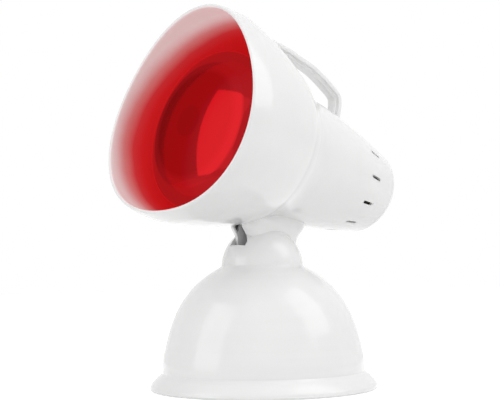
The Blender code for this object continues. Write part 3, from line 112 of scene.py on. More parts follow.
# The rim turns over from outside to inside in these degrees, and its first rings stay white
RIM_ROUND = 1.1 * MM
RIM_ANGLES = (25.0, 50.0, 75.0, 100.0, 125.0, 150.0)
RIM_ANGLES_WHITE = 4
BARREL_LENGTH = 96.8 * MM
BARREL_SHOULDER = 0.85 * BARREL_LENGTH
BARREL_SHOULDER_RADIUS = 27.0 * MM
BARREL_TAPER = 1.6
BARREL_END_POWER = 1.7
HOUSING_EDGE = 0.25 * MM
BARREL_WALL = 2.0 * MM
NECK_WALL = 1.8 * MM
NECK_SQUARENESS = 3.0
# The neck's rings in millimetres: height above the hinge, middle forward of it, half length, half width
NECK_RINGS = ((10.5, 0.8, 15.2, 11.8), (12.4, 1.6, 16.9, 11.8), (14.2, 2.2, 18.4, 11.8),
              (16.0, 2.6, 20.0, 11.8), (18.1, 3.0, 22.0, 11.8), (21.0, 3.5, 22.7, 11.7),
              (25.0, 3.0, 24.3, 11.0), (29.7, 1.2, 25.9, 9.8), (38.0, 0.0, 26.9, 9.4))
VENT_COUNT = 12
VENT_LENGTH = 9.5 * MM
VENT_WIDTH = 1.9 * MM
VENT_BACK = 62.0 * MM
VENT_CORNER = 0.48 * VENT_WIDTH
GROOVE_LENGTH = 17.0 * MM
GROOVE_DEPTH = 0.4 * MM
HANDLE_WIDTH = 10.0 * MM
HANDLE_HEIGHT = HOOD_BELLY_RADIUS + 1.7 * MM
HANDLE_REACH = 48.9 * MM
HANDLE_FRONT = 51.0 * MM
BULB_DROP = 3.0 * MM
BULB_RADIUS = 47.5 * MM
BULB_FACE_FORWARD = 65.8 * MM
BULB_LENGTH = 138.0 * MM
BULB_FACE_ROUND = 100.0 * MM
BULB_FACE_EDGE = 0.80 * BULB_RADIUS
# The bulb's rounded edge: share of its radius, millimetres behind the edge of its face
BULB_SHOULDER = ((0.91, 2.6), (0.98, 5.4), (1.0, 9.5), (0.985, 14.0))
# The bulb's back: share of its radius, share of its length behind its face
BULB_BACK = ((0.95, 0.20), (0.842, 0.283), (0.60, 0.42), (0.41, 0.55), (0.326, 0.68))

HEAD = Matrix.Translation((0.0, 0.0, HINGE_Z)) @ Matrix.Rotation(math.radians(-REST_TILT), 4, "X")
LAMP = HEAD @ Matrix.Translation((0.0, -CREASE_FORWARD, AXIS_HEIGHT)) \
    @ Matrix.Rotation(math.radians(90.0), 4, "X")
SIDE = Matrix(((0, 0, 1, 0), (-1, 0, 0, 0), (0, 1, 0, 0), (0, 0, 0, 1)))
LAMP_FORWARD = LAMP.to_3x3() @ Vector((0.0, 0.0, 1.0))
LAMP_UP = LAMP.to_3x3() @ Vector((0.0, 1.0, 0.0))

# How the bulb's red glow, painted on the hood's inside as colour and emission, fades, by the place along
# the axis
# in metres: where the fade starts and ends, what the squared height above or below the axis adds, and a
# faint wobble
GLOW_START = 0.037
GLOW_END = 0.074
GLOW_RISE = 3.2
GLOW_WOBBLE = 0.003
PAINTED_GLOW_TINT = ((0.0, (0.62, 0.010, 0.013)), (0.40, (0.62, 0.013, 0.017)), (0.56, (0.58, 0.034, 0.040)),
             (0.74, (0.62, 0.22, 0.22)), (0.90, (0.70, 0.54, 0.54)), (1.0, (0.74, 0.67, 0.67)))
# The bulb's colour and its own light, by the distance from its axis as a share of this radius
BULB_RAMP_RADIUS = 50.0 * MM
BULB_TINT = ((0.0, (0.265, 0.0050, 0.0070)), (0.17, (0.265, 0.0050, 0.0070)),
             (0.21, (0.30, 0.0060, 0.0080)), (0.735, (0.30, 0.0060, 0.0080)),
             (0.77, (0.08, 0.0030, 0.0040)))
BULB_GLOW = ((0.60, (0.045, 0.0040, 0.0050)), (0.68, (0.11, 0.0060, 0.0080)),
             (0.735, (0.11, 0.0060, 0.0080)), (0.77, (0.33, 0.0080, 0.0100)))

# Camera: its angles in radians, its place in metres and its sensor in millimetres
CAMERA_TURN = math.radians(46.83)
CAMERA_PITCH, CAMERA_YAW, CAMERA_ROLL = 0.0669, -0.0103, -0.0139
CAMERA_DISTANCE = 0.650
CAMERA_HEIGHT = 0.06699
PHOTO_WIDTH_PIXELS = 500.0
FOCAL_LENGTH_PIXELS = 1094.36
SENSOR_WIDTH = 36.0

# Floor and light
LIT_FROM = (0.15, -0.88, 0.45)
ROOM_LEVEL = 0.80
ROOM_SHADES = ((0.0, (0.62,) * 3), (0.5, (0.74,) * 3), (1.0, (1.0,) * 3))
FLOOR_SHADES = ((0.3, (0.85,) * 3), (0.7, (0.87,) * 3))
FLOOR_GLOW = 0.55
FLOOR_SIZE = 6.0
FLOOR_DROP = 0.4 * MM
LIGHTS_AIM = Vector((0.0, 0.0, 0.09))
# Name, turn to the camera's right and rise in degrees, distance and size in metres, radiance, and
# whether reflections show it
LIGHTS = (("left_card", -66.5, 24.0, 1.2, (0.72, 1.06), 1.15, True),
          ("right_card", 76.0, 43.0, 1.2, (0.70, 1.05), 1.40, True),
          ("top_box", 60.0, 76.0, 1.3, (0.60, 0.60), 1.6, False),
          ("front_fill", 8.0, 12.0, 1.3, (1.00, 0.60), 0.55, False))


# Geometry helpers

def to_object(name, bm, matrix=None):
    """Make an object of a mesh under construction, placed by a matrix."""
    if matrix is not None:
        bm.transform(matrix)
    bmesh.ops.recalc_face_normals(bm, faces=bm.faces)
    mesh = bpy.data.meshes.new(name)
    bm.to_mesh(mesh)
    bm.free()
    obj = bpy.data.objects.new(name, mesh)
    bpy.context.scene.collection.objects.link(obj)
    return obj


def skin(bm, low, high):
    """Join two rings of points with faces. A ring of one point becomes a tip."""
    count = max(len(low), len(high))
    faces = []
    for i in range(count):
        j = (i + 1) % count
        if len(low) == 1:
            faces.append(bm.faces.new((low[0], high[j], high[i])))
        elif len(high) == 1:
            faces.append(bm.faces.new((low[i], low[j], high[0])))
        else:
            faces.append(bm.faces.new((low[i], low[j], high[j], high[i])))
    return faces


def skin_along(bm, rings):
    for low, high in zip(rings, rings[1:]):
        skin(bm, low, high)


def cap_ends(bm, rings):
    bm.faces.new(rings[0])
    bm.faces.new(list(reversed(rings[-1])))


def turned_rings(bm, profile, steps):
    """A ring of points about Z for each radius and height of a profile, or one point on the axis."""
    rings = []
    for radius, height in profile:
        if radius < ON_AXIS:
            rings.append([bm.verts.new((0.0, 0.0, height))])
            continue
        ring = []
        for step in range(steps):
            angle = 2 * math.pi * (step + 0.5) / steps
            ring.append(bm.verts.new((radius * math.cos(angle), radius * math.sin(angle), height)))
        rings.append(ring)
    return rings


def turned(name, profile, steps=STEPS, matrix=None):
    bm = bmesh.new()
    skin_along(bm, turned_rings(bm, profile, steps))
    return to_object(name, bm, matrix)


def prism(name, outline, low, high, matrix=None):
    bm = bmesh.new()
    bottom = [bm.verts.new((x, y, low)) for x, y in outline]
    top = [bm.verts.new((x, y, high)) for x, y in outline]
    bm.faces.new(list(reversed(bottom)))
    bm.faces.new(top)
    for i in range(len(outline)):
        j = (i + 1) % len(outline)
        bm.faces.new((bottom[i], bottom[j], top[j], top[i]))
    return to_object(name, bm, matrix)


def rod(name, radius, low, high, steps=48, matrix=None):
    return turned(name, [(0.0, low), (radius, low), (radius, high), (0.0, high)], steps, matrix)


def combine(target, tool, operation):
    mod = target.modifiers.new(operation, "BOOLEAN")
    mod.operation = operation
    mod.solver = "EXACT"
    mod.object = tool
    apply_all(target)
    bpy.data.objects.remove(tool, do_unlink=True)


def apply_all(obj):
    graph = bpy.context.evaluated_depsgraph_get()
    mesh = bpy.data.meshes.new_from_object(obj.evaluated_get(graph))
    obj.modifiers.clear()
    old = obj.data
    obj.data = mesh
    bpy.data.meshes.remove(old)


def join(target, tool):
    combine(target, tool, "UNION")


def cut(target, tool):
    combine(target, tool, "DIFFERENCE")


def soften(obj, width, segments=3, angle=38.0):
    mod = obj.modifiers.new("soft edges", "BEVEL")
    mod.width = width
    mod.segments = segments
    mod.limit_method = "ANGLE"
    mod.angle_limit = math.radians(angle)
    mod.use_clamp_overlap = True
    apply_all(obj)


def arc(centre, radii, start, end, count):
    points = []
    for step in range(count + 1):
        angle = math.radians(start + (end - start) * step / count)
        points.append((centre[0] + radii[0] * math.cos(angle), centre[1] + radii[1] * math.sin(angle)))
    return points


def curve_through(points, count):
    """A smooth curve through all points, with a count of steps from each to the next."""
    result = []
    last = len(points) - 1
    for i in range(last):
        before, here = Vector(points[max(i - 1, 0)]), Vector(points[i])
        there, after = Vector(points[i + 1]), Vector(points[min(i + 2, last)])
        for step in range(count):
            t = step / count
            result.append(0.5 * (2 * here + (there - before) * t
                                 + (2 * before - 5 * here + 4 * there - after) * t ** 2
                                 + (3 * here - before - 3 * there + after) * t ** 3))
    result.append(Vector(points[-1]))
    return [tuple(point) for point in result]


def dress(obj, mats, body, replaces=(), angle=30.0):
    """Give a finished shape its materials and shading and its body, and hide the solids that it stands
    for.
    """
    slots = [polygon.material_index for polygon in obj.data.polygons]
    obj.data.materials.clear()
    for mat in mats if isinstance(mats, (list, tuple)) else [mats]:
        obj.data.materials.append(mat)
    obj.data.polygons.foreach_set("material_index", slots)
    obj.data.shade_smooth()
    obj.data.set_sharp_from_angle(angle=math.radians(angle))
    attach(obj, body)
    if replaces:
        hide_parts(*replaces)
    return obj


# Materials

def nodes_of(name):
    mat = bpy.data.materials.new(name)
    mat.use_nodes = True
    tree = mat.node_tree
    shader = tree.nodes["Principled BSDF"]
    return mat, tree, shader


def link(tree, out, into):
    tree.links.new(out, into)


def node(tree, kind, **values):
    made = tree.nodes.new(kind)
    for key, value in values.items():
        setattr(made, key, value)
    return made


def object_position(tree, scale=(1.0, 1.0, 1.0)):
    coords = node(tree, "ShaderNodeTexCoord")
    mapping = node(tree, "ShaderNodeMapping")
    mapping.inputs["Scale"].default_value = scale
    link(tree, coords.outputs["Object"], mapping.inputs["Vector"])
    return mapping.outputs["Vector"]


def noise(tree, vector, scale, detail=3.0, roughness=0.55):
    made = node(tree, "ShaderNodeTexNoise")
    made.inputs["Scale"].default_value = scale
    made.inputs["Detail"].default_value = detail
    made.inputs["Roughness"].default_value = roughness
    link(tree, vector, made.inputs["Vector"])
    return made.outputs["Fac"]


def ramp(tree, value, stops):
    made = node(tree, "ShaderNodeValToRGB")
    elements = made.color_ramp.elements
    while len(elements) < len(stops):
        elements.new(0.5)
    for element, (place, colour) in zip(elements, stops):
        element.position = place
        element.color = (*colour, 1.0)
    link(tree, value, made.inputs["Fac"])
    return made.outputs["Color"]


def offset_from(tree, place, origin):
    made = node(tree, "ShaderNodeVectorMath", operation="SUBTRACT")
    made.inputs[1].default_value = origin
    link(tree, place, made.inputs[0])
    return made.outputs["Vector"]


def reach_along(tree, vector, direction):
    """How far a vector reaches in a direction."""
    made = node(tree, "ShaderNodeVectorMath", operation="DOT_PRODUCT")
    made.inputs[1].default_value = direction
    link(tree, vector, made.inputs[0])
    return made.outputs["Value"]


def times_plus(tree, value, factor, plus):
    """A value times a factor, plus another value."""
    made = node(tree, "ShaderNodeMath", operation="MULTIPLY_ADD")
    made.inputs[1].default_value = factor
    link(tree, value, made.inputs[0])
    link(tree, plus, made.inputs[2])
    return made.outputs["Value"]


def share_between(tree, value, low, high):
    """Where a value lies between two limits, from 0 at the low one to 1 at the high one."""
    made = node(tree, "ShaderNodeMapRange")
    made.inputs["From Min"].default_value = low
    made.inputs["From Max"].default_value = high
    link(tree, value, made.inputs["Value"])
    return made.outputs["Result"]


def bump(tree, shader, height, distance, strength=1.0):
    made = node(tree, "ShaderNodeBump")
    made.inputs["Strength"].default_value = strength
    made.inputs["Distance"].default_value = distance
    link(tree, height, made.inputs["Height"])
    link(tree, made.outputs["Normal"], shader.inputs["Normal"])


def grained(name, dark, light, roughness, scale=60.0, metallic=0.0, relief=0.00002, fine=900.0,
            coat=0.0):
    """A solid finish with a faint mottle in its colour and its roughness, and a fine surface grain."""
    mat, tree, shader = nodes_of(name)
    place = object_position(tree)
    soft = noise(tree, place, scale)
    link(tree, ramp(tree, soft, [(0.3, dark), (0.7, light)]), shader.inputs["Base Color"])
    low, high = roughness
    rough = ramp(tree, noise(tree, place, 3.0 * scale), [(0.3, (low,) * 3), (0.7, (high,) * 3)])
    link(tree, rough, shader.inputs["Roughness"])
    shader.inputs["Metallic"].default_value = metallic
    shader.inputs["Coat Weight"].default_value = coat
    bump(tree, shader, noise(tree, place, fine), relief)
    return mat


def painted_glow_material():
    """The hood's inside: white plastic with the bulb's red glow painted on as colour and emission, paling
    towards the rim.
    """
    mat, tree, shader = nodes_of("hood_inside_painted_glow")
    place = node(tree, "ShaderNodeTexCoord").outputs["Object"]
    offset = offset_from(tree, place, LAMP.translation)
    rise = reach_along(tree, offset, LAMP_UP)
    squared = node(tree, "ShaderNodeMath", operation="MULTIPLY")
    link(tree, rise, squared.inputs[0])
    link(tree, rise, squared.inputs[1])
    reach = reach_along(tree, offset, LAMP_FORWARD)
    reach = times_plus(tree, squared.outputs["Value"], GLOW_RISE, reach)
    reach = times_plus(tree, noise(tree, place, 40.0), GLOW_WOBBLE, reach)
    painted_red_light = ramp(tree, share_between(tree, reach, GLOW_START, GLOW_END), PAINTED_GLOW_TINT)
    # Painted light: the bulb's red glow, fading towards the rim, is painted into the base colour and also
    # given off as emission, though the hood's inside is no lamp.
    link(tree, painted_red_light, shader.inputs["Base Color"])
    link(tree, painted_red_light, shader.inputs["Emission Color"])
    shader.inputs["Emission Strength"].default_value = 0.3
    shader.inputs["Roughness"].default_value = 0.42
    bump(tree, shader, noise(tree, place, 700.0), 0.00001)
    return mat


def bulb_material():
    """Ruby glass over a silvered reflector, with a darker disc at its centre and more glow at its edge."""
    mat, tree, shader = nodes_of("ruby_glass_face")
    place = node(tree, "ShaderNodeTexCoord").outputs["Object"]
    offset = offset_from(tree, place, LAMP @ Vector((0.0, -BULB_DROP, 0.0)))
    axis_part = node(tree, "ShaderNodeVectorMath", operation="SCALE")
    axis_part.inputs[0].default_value = LAMP_FORWARD
    link(tree, reach_along(tree, offset, LAMP_FORWARD), axis_part.inputs["Scale"])
    radial = node(tree, "ShaderNodeVectorMath", operation="SUBTRACT")
    link(tree, offset, radial.inputs[0])
    link(tree, axis_part.outputs["Vector"], radial.inputs[1])
    length = node(tree, "ShaderNodeVectorMath", operation="LENGTH")
    link(tree, radial.outputs["Vector"], length.inputs[0])
    share = share_between(tree, length.outputs["Value"], 0.0, BULB_RAMP_RADIUS)
    link(tree, ramp(tree, share, BULB_GLOW), shader.inputs["Emission Color"])
    shader.inputs["Emission Strength"].default_value = 1.0
    link(tree, ramp(tree, share, BULB_TINT), shader.inputs["Base Color"])
    waves = noise(tree, place, 90.0)
    link(tree, ramp(tree, waves, [(0.3, (0.05,) * 3), (0.7, (0.08,) * 3)]), shader.inputs["Roughness"])
    shader.inputs["Metallic"].default_value = 1.0
    shader.inputs["Specular Tint"].default_value = (0.62, 0.02, 0.025, 1.0)
    bump(tree, shader, waves, 0.00002)
    return mat


white = grained("white_gloss", (0.812, 0.814, 0.810), (0.834, 0.836, 0.832), (0.12, 0.17), scale=45.0,
                relief=0.000008, coat=0.15)
steel = grained("zinc_steel", (0.46, 0.47, 0.49), (0.60, 0.61, 0.63), (0.28, 0.42), scale=300.0,
                metallic=1.0)
brass = grained("brass_bare", (0.60, 0.44, 0.20), (0.74, 0.57, 0.30), (0.25, 0.38), scale=240.0,
                metallic=1.0)
aluminium = grained("cap_metal", (0.66, 0.66, 0.68), (0.76, 0.76, 0.78), (0.24, 0.36), scale=240.0,
                    metallic=1.0)
iron = grained("ballast_iron", (0.035, 0.035, 0.038), (0.06, 0.06, 0.062), (0.55, 0.75), scale=180.0,
               relief=0.0002, fine=500.0)
rubber = grained("pad_rubber", (0.030, 0.030, 0.032), (0.050, 0.050, 0.052), (0.75, 0.9), scale=260.0,
                 relief=0.0002, fine=700.0)
black = grained("black_gloss", (0.012, 0.012, 0.013), (0.020, 0.020, 0.021), (0.25, 0.35), scale=120.0)
nylon = grained("nylon_natural", (0.66, 0.64, 0.56), (0.76, 0.74, 0.67), (0.45, 0.6), scale=120.0)
ceramic = grained("steatite", (0.74, 0.73, 0.69), (0.82, 0.81, 0.78), (0.22, 0.34), scale=150.0)
sleeve = grained("silicone_sleeve", (0.13, 0.13, 0.14), (0.18, 0.18, 0.19), (0.5, 0.65), scale=200.0)
tungsten = grained("tungsten_wire", (0.28, 0.27, 0.26), (0.38, 0.37, 0.35), (0.3, 0.5), scale=600.0,
                   metallic=1.0)
glow = painted_glow_material()
ruby = bulb_material()


# Base shapes

def ball_slot(matrix):
    """The slot through the top of the ball, and the space between the cheeks under it."""
    reach = 1.4 * BALL_RADIUS
    room = CHEEK_RADIUS - 1.2 * MM
    floor = 1.3 * BALL_RADIUS
    front, rear = NOTCH_FRONT_ANGLE, 180.0 - NOTCH_REAR_ANGLE
    outline = arc((0.0, 0.0), (reach, reach), front, rear, 40)
    outline += arc((0.0, 0.0), (room, room), rear, 186.0, 4)
    outline += [(-CHEEK_RADIUS - 0.4 * MM, -2.0 * MM), (-CHEEK_RADIUS - 0.4 * MM, -floor)]
    outline += [(CHEEK_RADIUS + 0.4 * MM, -floor), (CHEEK_RADIUS + 0.4 * MM, -2.0 * MM)]
    outline += arc((0.0, 0.0), (room, room), -6.0, front, 10)
    return prism("slot", outline, -NOTCH_HALF_WIDTH, NOTCH_HALF_WIDTH, matrix)


def switch_frame():
    """The switch's seat on the dome: x across, y up the slope and z out of the surface."""
    angle = math.asin((SWITCH_Z - DOME_FOOT_Z) / DOME_HEIGHT)
    place = Vector((0.0, DOME_RADIUS * math.cos(angle), SWITCH_Z))
    normal = Vector((0.0, math.cos(angle) / DOME_RADIUS, math.sin(angle) / DOME_HEIGHT)).normalized()
    across = Vector((-1.0, 0.0, 0.0))
    slope = normal.cross(across)
    return Matrix.Translation(place) @ Matrix((across, slope, normal)).transposed().to_4x4()


def rounded_rectangle(width, height, radius, steps=6):
    points = []
    for cx, cy, start in ((1, 1, 0), (-1, 1, 90), (-1, -1, 180), (1, -1, 270)):
        centre = (cx * (width / 2 - radius), cy * (height / 2 - radius))
        points += arc(centre, (radius, radius), start, start + 90, steps)
    return points


def eased(radius, height):
    """The dome's radius at a height, from the ellipse's."""
    for (low, a), (high, b) in zip(DOME_EASE, DOME_EASE[1:]):
        if height <= high * MM:
            t = max(height / MM - low, 0.0) / (high - low)
            t = t * t * (3.0 - 2.0 * t)
            return radius * (a + (b - a) * t)
    return radius * DOME_EASE[-1][1]


def base_outer():
    """The shell's outer outline, from under its foot over the dome to the top of the ball."""
    outline = [(FOOT_STEP_RADIUS, 0.0), (FOOT_STEP_RADIUS + 0.5 * MM, 0.0)]
    foot = [(DOME_RADIUS + FOOT_FLARE * out, FOOT_HEIGHT * up) for out, up in FOOT_OUTLINE]
    outline += curve_through(foot, 5)
    seam = math.degrees(math.acos(BALL_RADIUS / DOME_RADIUS))
    wall = arc((0.0, DOME_FOOT_Z), (DOME_RADIUS, DOME_HEIGHT), 0.0, seam - WALL_END_BEFORE, 48)
    outline += [(eased(radius, height), height) for radius, height in wall]
    seam_z = DOME_FOOT_Z + DOME_HEIGHT * math.sin(math.radians(seam - FILLET_BEFORE))
    ball_start = math.degrees(math.asin((seam_z - HINGE_Z) / BALL_RADIUS)) + BALL_START_AFTER
    ball = arc((0.0, HINGE_Z), (BALL_RADIUS, BALL_RADIUS), ball_start, 89.0, 40)
    fillet = (BALL_RADIUS + FILLET_OUT, seam_z + FILLET_UP)
    outline += curve_through([outline[-1], fillet, ball[0]], 4)[1:-1]
    return outline + ball + [(0.0, HINGE_Z + BALL_RADIUS)]


def base_inner():
    """The shell's inner outline, from the ball's hollow down to the step for the plate."""
    ball = BALL_RADIUS - BASE_WALL
    dome = (DOME_RADIUS - BASE_WALL, DOME_HEIGHT - BASE_WALL)
    seam = math.degrees(math.acos(ball / dome[0]))
    outline = [(0.0, HINGE_Z + ball)]
    outline += arc((0.0, HINGE_Z), (ball, ball), 86.0, 0.0, 20)
    outline += arc((0.0, DOME_FOOT_Z), dome, seam, 0.0, 20)
    return outline + [(dome[0], FOOT_STEP_Z), (FOOT_STEP_RADIUS, FOOT_STEP_Z)]


def make_base():
    """The foot, dome and slotted ball as one shell, with the switch's seat and the cord's inlet.

    The screw posts and the tilt bolt's bore are in the solid alone.
    """
    bm = bmesh.new()
    outer = turned_rings(bm, base_outer(), STEPS)
    skin_along(bm, outer)
    inner = turned_rings(bm, base_inner(), STEPS)
    skin_along(bm, inner)
    skin(bm, inner[-1], outer[0])
    shell = to_object("base_shell_skin", bm)
    hinge = Matrix.Translation((0.0, 0.0, HINGE_Z)) @ SIDE
    cheek_outer = NOTCH_HALF_WIDTH + CHEEK_THICKNESS
    join(shell, rod("cheeks", CHEEK_RADIUS, -cheek_outer, cheek_outer, 96, hinge))
    cut(shell, ball_slot(hinge))
    seat = switch_frame()
    join(shell, prism("seat", rounded_rectangle(*SEAT_SIZE, SEAT_CORNER), -4.0 * MM, SEAT_RISE, seat))
    opening = rounded_rectangle(*OPENING_SIZE, OPENING_CORNER)
    cut(shell, prism("opening", opening, -10 * MM, 10 * MM, seat))
    inlet = Matrix.Translation((0.0, DOME_RADIUS, INLET_Z)) \
        @ Matrix.Rotation(math.radians(-90.0), 4, "X")
    cut(shell, rod("inlet", INLET_RADIUS, -4 * BASE_WALL, 4 * BASE_WALL, 40, inlet))
    soften(shell, BASE_EDGE, 3, 48.0)
    return dress(shell, white, "base", ("base_shell",), 40.0)


# Head shapes

def hood_radius(share):
    """The hood's radius at a share of its length, before it is lobed."""
    if share >= HOOD_BELLY_SHARE:
        t = (share - HOOD_BELLY_SHARE) / (1.0 - HOOD_BELLY_SHARE)
        return HOOD_BELLY_RADIUS + (HOOD_MOUTH_RADIUS - HOOD_BELLY_RADIUS) * t * t
    path = curve_through(HOOD_RISE, 16)
    for (a, p), (b, q) in zip(path, path[1:]):
        if a <= share <= b:
            grown = p + (q - p) * (share - a) / (b - a)
            return CREASE_RADIUS + (HOOD_BELLY_RADIUS - CREASE_RADIUS) * grown
    return HOOD_BELLY_RADIUS


def barrel_radius(back):
    """The barrel's radius at a distance behind the crease."""
    drop = CREASE_RADIUS - BARREL_SHOULDER_RADIUS
    if back <= BARREL_SHOULDER:
        return CREASE_RADIUS - drop * (max(back, 0.0) / BARREL_SHOULDER) ** BARREL_TAPER
    share = min((back - BARREL_SHOULDER) / (BARREL_LENGTH - BARREL_SHOULDER), 1.0)
    return BARREL_SHOULDER_RADIUS * (1.0 - share ** BARREL_END_POWER) ** (1.0 / BARREL_END_POWER)


def outline_radius(forward):
    """The hood's and the barrel's one outline, with the crease between them filled by a soft bend."""
    t = (forward + CREASE_BLEND) / (2.0 * CREASE_BLEND)
    if t <= 0.0:
        return barrel_radius(-forward)
    if t >= 1.0:
        return hood_radius(forward / HOOD_LENGTH)
    start, end = barrel_radius(CREASE_BLEND), hood_radius(CREASE_BLEND / HOOD_LENGTH)
    return (1.0 - t) ** 2 * start + 2.0 * t * (1.0 - t) * (CREASE_RADIUS + CREASE_LIFT) + t * t * end


def lobed_ring(bm, radius, share, forward, steps=STEPS):
    """A ring of the hood, more three-lobed the larger its share of the hood's length."""
    verts = []
    for step in range(steps):
        angle = 2.0 * math.pi * step / steps
        lobed = radius * (1.0 + HOOD_LOBE * max(share, 0.0) * math.cos(3.0 * angle))
        verts.append(bm.verts.new((lobed * math.sin(angle), lobed * math.cos(angle), forward)))
    return verts


def make_hood():
    """The bell, whose wall turns over a rounded rim and runs back to the bore of its flange.

    The flange's screw holes are in the solid alone.
    """
    bm = bmesh.new()
    count = 40
    shares = [HOOD_RIM_SHARE * (s / count) ** 1.15 for s in range(count + 1)]
    outer = [lobed_ring(bm, CREASE_RADIUS - 1.2 * MM, 0.0, 0.1 * MM),
             lobed_ring(bm, outline_radius(-HOOD_LIP) - 0.04 * MM, 0.0, -HOOD_LIP)]
    outer += [lobed_ring(bm, outline_radius(s * HOOD_LENGTH), s, s * HOOD_LENGTH) for s in shares]
    half = 0.5 * HOOD_WALL
    edge = HOOD_RIM_SHARE * HOOD_LENGTH
    middle = hood_radius(HOOD_RIM_SHARE) - half
    rim = []
    for angle in RIM_ANGLES:
        a = math.radians(angle)
        rim.append(lobed_ring(bm, middle + half * math.cos(a), 1.0, edge + RIM_ROUND * math.sin(a)))
    inner_shares = list(reversed(shares))[:-3]
    inner = [lobed_ring(bm, hood_radius(s) - HOOD_WALL, s, s * HOOD_LENGTH) for s in inner_shares]
    back = [lobed_ring(bm, HOOD_FLANGE_BORE, 0.0, HOOD_FLANGE_FRONT),
            lobed_ring(bm, HOOD_FLANGE_BORE, 0.0, HOOD_LIP)]
    rings = outer + rim + inner + back
    # The inner faces take the material with the bulb's red glow painted on.
    painted_glow_faces = []
    first_inner = len(outer) + RIM_ANGLES_WHITE
    for index, (low, high) in enumerate(zip(rings, rings[1:] + rings[:1])):
        faces = skin(bm, low, high)
        if first_inner <= index < len(rings) - 1:
            painted_glow_faces += faces
    for face in painted_glow_faces:
        face.material_index = 1
    hood = to_object("hood_skin", bm, LAMP)
    return dress(hood, [white, glow], "head", ("hood",), 50.0)


def neck_loft(name, inset, reach=0.0):
    """The neck as a solid: a long rounded oblong at each height, drawn in by an inset."""
    path = curve_through([Vector(ring) for ring in NECK_RINGS], 5)
    bm = bmesh.new()
    rings = []
    for i, (height, middle, half_length, half_width) in enumerate(path):
        beyond = reach if i == len(path) - 1 else -reach if i == 0 else 0.0
        verts = []
        for step in range(96):
            angle = 2.0 * math.pi * (step + 0.5) / 96
            across, along = math.cos(angle), math.sin(angle)
            x = (half_width * MM - inset) * math.copysign(abs(across) ** (2 / NECK_SQUARENESS), across)
            y = (half_length * MM - inset) * math.copysign(abs(along) ** (2 / NECK_SQUARENESS), along)
            verts.append(bm.verts.new((x, y - middle * MM, height * MM + beyond)))
        rings.append(verts)
    skin_along(bm, rings)
    bmesh.ops.triangulate(bm, faces=bm.faces)
    cap_ends(bm, rings)
    return to_object(name, bm)


def ball_room():
    """The ball with its clearance, to cut the neck's seat with."""
    reach = BALL_RADIUS + BALL_CLEARANCE
    profile = [(0.0, -reach)] + arc((0.0, 0.0), (reach, reach), -86.0, 86.0, 48) + [(0.0, reach)]
    return turned("ball", profile)


def tongue():
    """The tongue from the neck through the ball's slot to a round hub, before it is split."""
    front = math.radians(NOTCH_FRONT_ANGLE + TILT_FORWARD + 1.0 - REST_TILT)
    rear = math.radians(180.0 - (NOTCH_REAR_ANGLE + TILT_BACK + 1.5 + REST_TILT))
    low, high = CHEEK_RADIUS - 2.0 * MM, BALL_RADIUS + 1.2 * MM
    top = AXIS_HEIGHT - CREASE_RADIUS + 0.5 * BARREL_WALL
    outline = arc((0.0, 0.0), (HUB_RADIUS, HUB_RADIUS), 180.0, 360.0, 40)
    outline += [(low * math.cos(front), low * math.sin(front)),
                (18.1 * MM, 8.9 * MM), (19.0 * MM, 11.6 * MM), (20.0 * MM, 14.5 * MM),
                (17.5 * MM, top), (-12.0 * MM, top),
                (high * math.cos(rear), high * math.sin(rear)),
                (low * math.cos(rear), low * math.sin(rear))]
    half = TONGUE_INNER_X + TONGUE_THICKNESS
    return prism("tongue", outline, -half, half, SIDE)


def tongue_root():
    """The thicker part of the tongue between the ball's cheeks and the neck."""
    outline = arc((0.0, 0.0), (TONGUE_ROOT_INNER, TONGUE_ROOT_INNER), 125.0, 29.6, 24)
    outline += [(18.92 * MM, 11.6 * MM), (19.92 * MM, 14.5 * MM)]
    outline += arc((0.0, 0.0), (TONGUE_ROOT_OUTER, TONGUE_ROOT_OUTER), 41.5, 122.0, 24)
    return prism("tongue root", outline, -TONGUE_ROOT_HALF, TONGUE_ROOT_HALF, SIDE)


def tongue_gap():
    """The gap that splits the tongue in two plates, with the neck's front slot and a lead hole."""
    under, floor = -HUB_RADIUS - 2.0 * MM, AXIS_HEIGHT - CREASE_RADIUS - 1.0 * MM
    behind, ahead = -14.0 * MM, 40.0 * MM
    hood_side = CREASE_FORWARD + 0.3 * MM
    outline = [(behind, under), (26.0 * MM, under), (ahead, 2.0 * MM), (ahead, floor + 6.0 * MM),
               (hood_side, floor + 6.0 * MM), (hood_side, floor), (3.0 * MM, floor),
               (3.0 * MM, floor + 8.0 * MM), (-8.0 * MM, floor + 8.0 * MM), (-8.0 * MM, floor),
               (-12.3 * MM, floor), (-12.3 * MM, 18.6 * MM), (behind - 2.3 * MM, 18.1 * MM),
               (behind, 15.5 * MM)]
    return prism("tongue gap", outline, -TONGUE_INNER_X, TONGUE_INNER_X, SIDE)


def hood_form(matrix):
    """The hood's outer form with a little room, as a solid to cut with."""
    bm = bmesh.new()
    rings = [lobed_ring(bm, outline_radius(0.0) + 1.5 * MM, 0.0, -0.02 * MM, 120)]
    rings += [lobed_ring(bm, outline_radius(s * HOOD_LENGTH) + 0.03 * MM, s, s * HOOD_LENGTH, 120)
              for s in (0.03, 0.06, 0.1, 0.14, 0.18, 0.24, 0.32, 0.42, 0.55, 0.7, 0.85, HOOD_RIM_SHARE)]
    skin_along(bm, rings)
    cap_ends(bm, rings)
    return to_object("hood form", bm, matrix)


